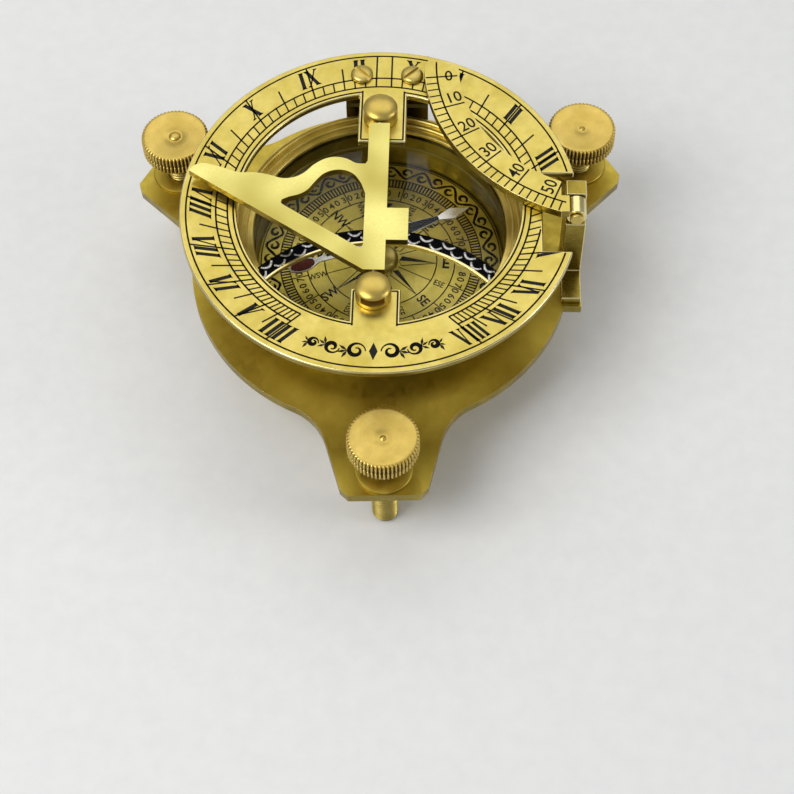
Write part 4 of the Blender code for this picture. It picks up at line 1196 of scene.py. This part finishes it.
def build_hinge():
    """The block on the plate and the leaf under the ring, joined by a pin that runs east and west."""
    west = HINGE_X - HINGE_WIDTH / 2
    east = HINGE_X + HINGE_WIDTH / 2
    centre = (HINGE_Y, HINGE_Z)
    half = KNUCKLE_BARREL / 2
    block = [(HINGE_Y - 2.5, DECK), (HINGE_Y + KNUCKLE_R, DECK)]
    block += arc(centre, KNUCKLE_R, 0.0, 180.0, 24)
    block += [(HINGE_Y - KNUCKLE_R, HINGE_Z - 1.0), (HINGE_Y - 2.5, HINGE_Z - 1.5)]
    # The block and the leaf take the near-black painted shade of their place under the ring.
    bracket = prism("hinge_bracket", [block], west, east, ["under_ring_shade"], FACING_EAST)
    reach = KNUCKLE_R + 0.3
    low = (HINGE_X - half - 0.15, HINGE_Y - 4, HINGE_Z - reach)
    mill(bracket, low, (HINGE_X + half + 0.15, HINGE_Y + 4, HINGE_Z + 4))
    drill(bracket, (west - 1, *centre), (east + 1, *centre), HINGE_BORE_R)
    stands_for(round_edges(bracket, 0.15), "base", "satin_brass", "hinge_block")

    leaf_floor = LEAF_TOP - LEAF_T
    plate = [(LEAF_SOUTH, leaf_floor), (HINGE_Y - KNUCKLE_R, leaf_floor)]
    plate += arc(centre, KNUCKLE_R, 180.0, 360.0, 24)
    plate += [(HINGE_Y + KNUCKLE_R, leaf_floor), (LEAF_NORTH, leaf_floor)]
    plate += [(LEAF_NORTH, LEAF_TOP), (LEAF_SOUTH, LEAF_TOP)]
    leaf = prism("ring_leaf", [plate], west, east, ["under_ring_shade"], FACING_EAST, hinge_at())
    for low, high in ((west - 1, HINGE_X - half), (HINGE_X + half, east + 1)):
        mill(leaf, (low, HINGE_Y - 4, HINGE_Z - 4), (high, HINGE_Y + 4, leaf_floor))
    drill(leaf, (west - 1, *centre), (east + 1, *centre), HINGE_BORE_R)
    stands_for(round_edges(leaf, 0.12), "ring", "satin_brass", "hinge_leaf")

    pin = rod("ring_pin", (west - 0.2, *centre), (east + 0.2, *centre), HINGE_BORE_R - GAP, ["pin"])
    stands_for(round_edges(pin, 0.1), "base", "pin_steel", "hinge_pin")


def build_leaf_screws():
    seat = RING_TOP + GAP
    foot = LEAF_TOP - LEAF_T + 0.2
    profile = raised(seat, (0.0, 1.05), (0.6, 1.04), (1.2, 0.98), (1.7, 0.86), (2.0, 0.7), (2.15, 0.5))
    profile += raised(seat, (2.2, 0.3), (2.2, 0.05), (2.15, 0.0), (1.0, 0.0)) + [(1.0, foot), (0.0, foot)]
    for name, side, slot_angle in (("west", -1, -43.0), ("east", 1, 43.0)):
        place = (HINGE_X + side * LEAF_SCREW_SPREAD / 2, LEAF_SCREW_Y)
        screw = turned("slotted_screw_" + name, profile, ["screw"], (*place, RING_TOP))
        corners = [turn(c, slot_angle) for c in ((-3, -0.36), (3, -0.36), (3, 0.36), (-3, 0.36))]
        outline = [(place[0] + x, place[1] + y) for x, y in corners]
        cut(screw, prism("slot", [outline], seat + 0.5, seat + 3, []))
        stands_for(round_edges(screw, 0.06, 2), "ring", "turned_brass", "leaf_screw_" + name)


def build_posts():
    seat = RING_TOP + GAP
    wall = seat + POST_WALL
    for name, side in (("north", 1), ("south", -1)):
        place = (PIVOT_X, side * POST_Y)
        crown = ((0.0, 1.0), (0.7, 0.98), (1.4, 0.91), (2.1, 0.77), (2.7, 0.55), (3.1, 0.3))
        dome = [(radius, wall + POST_DOME * share) for radius, share in crown]
        dome += [(3.3, wall + 0.05), (POST_R, wall - 0.2), (POST_R, seat + 0.1), (POST_R - 0.1, seat)]
        dome += [(1.6, seat), (1.6, RING_FLOOR - 0.5), (1.3, RING_FLOOR - 0.6), (0.0, RING_FLOOR - 0.6)]
        post = turned("domed_post_" + name, dome, ["knob"], (*place, RING_TOP))
        start = (PIVOT_X, side * (POST_Y - POST_R - 1), PIVOT_Z)
        drill(post, start, (PIVOT_X, side * (POST_Y + 1.2), PIVOT_Z), 0.65)
        near, far = sorted((side * (POST_Y + 1.0), side * (POST_Y + POST_R + 1)))
        mill(post, (PIVOT_X - 2.2, near, PIVOT_Z - 1.0), (PIVOT_X + 2.2, far, PIVOT_Z + 0.8))
        stands_for(round_edges(post, 0.07, 2), "ring", "turned_brass", "post_" + name)


def build_gnomon():
    at = (PIVOT_X, 0.0, PIVOT_Z)
    half = GNOMON_T / 2
    looks = ["gnomon", "side"]
    gnomon = prism("gnomon_plate", gnomon_outlines(), PIVOT_Z - half, PIVOT_Z + half, looks, at=at)
    stands_for(round_edges(gnomon, 0.6, 5, 0), "gnomon", "polished_brass", "gnomon")


def build_stop_strip():
    """A thin curved strip under the ring, enamelled black with two rows of white scales."""
    start, end = 90.0 - STRIP_SWEEP, 90.0 + STRIP_SWEEP
    outline = arc(STRIP_CENTRE, STRIP_OUT, start, end, 96) + arc(STRIP_CENTRE, STRIP_IN, end, start, 96)
    floor = STRIP_TOP - STRIP_T
    strip = prism("strip", [outline], floor, STRIP_TOP - 0.02, ["rim"], at=hinge_at())
    stands_for(round_edges(strip, 0.12), "ring", "black_enamel", "stop_strip")
    coat = Marks(STRIP_TOP - 0.02, 0.04, 0.02)
    coat.band(STRIP_CENTRE, STRIP_IN + 0.45, STRIP_OUT - 0.08, start + 0.3, end - 0.3)
    stands_for(coat.build("strip_enamel", "enamel", hinge_at()), "ring", "black_enamel")
    scales = Marks(STRIP_TOP, 0.04, 0.02)
    for row, (radius, shift) in enumerate(((STRIP_OUT - 0.55, 0.0), (STRIP_IN + 1.45, 0.5))):
        for k in range(-8, 9):
            angle = 90.0 + SCALE_PITCH * (k + shift)
            if abs(angle - 90.0) > STRIP_SWEEP - 3.0:
                continue
            curve = []
            for s in range(13):
                t = s / 12 * 2 - 1
                sag = 0.85 * (1 - t * t)
                curve.append((radius - sag, angle + t * SCALE_PITCH * 0.27))
            points = [arc(STRIP_CENTRE, r, a, a, 1)[0] for r, a in curve]
            widths = [0.34 + 0.12 * (1 - (s / 6 - 1) ** 2) for s in range(13)]
            scales.stroke(points, widths)
    stands_for(scales.build("strip_scales", "white", hinge_at()), "ring", "black_enamel")


# ---- latitude arc


def on_pin(y):
    """A point of the latitude arc's own axis."""
    return (ARC_PIN_X, y, ARC_PIN_Z)


def latitude_marks():
    marks = Marks(ARC_TOP)
    north = angle_to(arc_tip(ARC_TICK_LINE), ARC_CENTRE) % 360.0 - 360.0
    last = ARC_ZERO + 5.3 * ARC_TEN
    marks.line(ARC_CENTRE, ARC_TICK_LINE, LINE_W, north + 0.5, last - 360.0)
    for two in range(27):
        angle = ARC_ZERO + ARC_TEN * two / 5
        marks.ray(ARC_CENTRE, ARC_TICK_LINE, ARC_OUT - 0.15, angle, LINE_W * 0.9)
    for tens in range(6):
        angle = ARC_ZERO + ARC_TEN * tens
        marks.ray(ARC_CENTRE, ARC_IN + 0.4, ARC_OUT - 0.15, angle, LINE_W)
        lift = 0.0 if tens == 0 else math.degrees(1.8 / ARC_LABEL_R)
        place = Vector(ARC_CENTRE) + Vector(turn((ARC_LABEL_R, 0.0), angle - lift))
        marks.text(str(10 * tens), 3.6, place, angle - 90.0, 0.04, 0.92)
    return marks


def build_latitude_arc():
    at = on_pin(0.0)
    low, high = ARC_KNUCKLE
    looks = ["ring", "side", "rim"]
    plate = prism("latitude_plate", [latitude_outline()], ARC_FLOOR, ARC_TOP, looks, at=at)
    stands_for(round_edges(plate, 0.16, 3, 2), "arc", "bright_brass", "latitude_arc")
    start, end = on_pin(low + 0.02), on_pin(high - 0.02)
    knuckle = rod("latitude_knuckle", start, end, ARC_KNUCKLE_R, ["rim"], 48, at)
    drill(knuckle, on_pin(low - 1), on_pin(high + 1), ARC_PIN_R + GAP)
    stands_for(round_edges(knuckle, 0.12), "arc", "bright_brass")
    marks = latitude_marks().build("latitude_engraving", "ink", at)
    stands_for(marks, "arc", "black_enamel")


def build_arc_bracket():
    low, high = ARC_KNUCKLE
    top = ARC_PIN_Z + 1.8
    side = [(FOOT_SOUTH, DECK), (EAR[1], DECK), (EAR[1], top), (EAR[0], top)]
    side += [(EAR[0], SADDLE_Z), (low, SADDLE_Z), (low, DECK + FOOT_T), (FOOT_SOUTH, DECK + FOOT_T)]
    west, east = ARC_PIN_X - POST_HALF_X, ARC_PIN_X + POST_HALF_X
    looks = ["bracket", "bracket", "rim"]
    bracket = prism("latitude_bracket", [side], west, east, looks, FACING_EAST)
    drill(bracket, on_pin(high), on_pin(EAR[1] + 1), ARC_PIN_R + GAP)
    stands_for(round_edges(bracket, 0.2, 3, 2), "base", "satin_brass", "arc_bracket")
    near = on_pin(low - GAP)
    pin = rod("latitude_pin", near, on_pin(EAR[1] - GAP), ARC_PIN_R, ["pin"])
    stands_for(pin, "base", "pin_steel", "arc_pin")
    head = rod("latitude_pin_head", on_pin(low - 0.8), near, 1.3, ["screw"])
    stands_for(round_edges(head, 0.22), "base", "turned_brass")


# ---- small CAD pieces and the studio


def dress_cad_nodes(frame):
    """The small pieces that keep their CAD shape get a finish and broken edges."""
    looks = dict.fromkeys(("bowl_screw", "hinge_screw", "arc_bracket_screw", "strip_post"), "screw")
    looks["trunnion"] = "pin"
    for name, node in frame["nodes"].items():
        for start, look in looks.items():
            if name.startswith(start):
                node.data.materials.clear()
                node.data.materials.append(FINISH[look])
                round_edges(node, 0.08, 2)


def build_floor():
    level = SCREW_TIP * MM
    bm = bmesh.new()
    reach, back, rise, bend = 0.9, 0.75, 0.9, 0.25
    profile = [(-reach, level)]
    for k in range(17):
        tilt = math.pi / 32 * k
        profile.append((back + bend * math.sin(tilt), level + bend * (1 - math.cos(tilt))))
    profile.append((back + bend, level + rise))
    rows = [[bm.verts.new((side * reach, y, z)) for y, z in profile] for side in (-1.6, 1.6)]
    for k in range(len(profile) - 1):
        bm.faces.new((rows[0][k], rows[1][k], rows[1][k + 1], rows[0][k + 1]))
    mesh = bpy.data.meshes.new("floor")
    bm.to_mesh(mesh)
    bm.free()
    mesh.shade_smooth()
    mesh.materials.append(FINISH["floor"])
    floor = bpy.data.objects.new("floor", mesh)
    bpy.context.scene.collection.objects.link(floor)
    floor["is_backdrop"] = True


def add_light(name, place, aim, size, power, colour=(1.0, 1.0, 1.0)):
    light = bpy.data.lights.new(name, "AREA")
    light.shape = "RECTANGLE"
    light.size, light.size_y = size
    light.energy = power
    light.color = colour
    obj = bpy.data.objects.new(name, light)
    obj.location = place
    obj.rotation_euler = (Vector(aim) - Vector(place)).to_track_quat("-Z", "Y").to_euler()
    bpy.context.scene.collection.objects.link(obj)


def build_studio():
    build_floor()
    middle = (0.0, 0.0, 0.01)
    add_light("key", (-0.4, -0.25, 0.6), middle, (0.45, 0.45), 3.2)
    add_light("rear_panel", (0.0, 0.42, 0.66), middle, (0.8, 0.5), 1.35, (1.0, 0.985, 0.95))
    add_light("side", (0.6, -0.1, 0.25), middle, (0.2, 0.5), 0.9)
    world = bpy.data.worlds.new("studio")
    world.use_nodes = True
    sky = world.node_tree.nodes["Background"].inputs
    sky["Color"].default_value = (0.96, 0.98, 1.0, 1.0)
    sky["Strength"].default_value = 0.32
    bpy.context.scene.world = world
    bpy.context.scene.view_settings.view_transform = "Standard"


def build_camera():
    camera = bpy.data.cameras.new("camera")
    camera.lens = CAMERA_LENS
    camera.sensor_width = 36.0
    camera.clip_start = 0.01
    obj = bpy.data.objects.new("camera", camera)
    way = Vector(CAMERA_AIM) - Vector(CAMERA_AT)
    look = way.to_track_quat("-Z", "Y").to_matrix()
    obj.matrix_world = Matrix.Translation(Vector(CAMERA_AT) * MM) @ (
        look @ Matrix.Rotation(math.radians(CAMERA_ROLL), 3, "Z")
    ).to_4x4()
    bpy.context.scene.collection.objects.link(obj)
    bpy.context.scene.camera = obj


def clear_scene():
    for obj in list(bpy.data.objects):
        bpy.data.objects.remove(obj, do_unlink=True)


def corners(box):
    return [list(corner) for corner in box]


clear_scene()
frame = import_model()
cad_box = corners(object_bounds())
FINISH.update(make_finishes())
build_camera()
build_plate()
build_levelling_screws()
build_case()
build_card()
build_needle()
build_ring()
build_hinge()
build_leaf_screws()
build_posts()
build_gnomon()
build_stop_strip()
build_latitude_arc()
build_arc_bracket()
dress_cad_nodes(frame)
build_studio()
bpy.context.view_layer.update()
{"cad": cad_box, "visual": corners(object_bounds())}
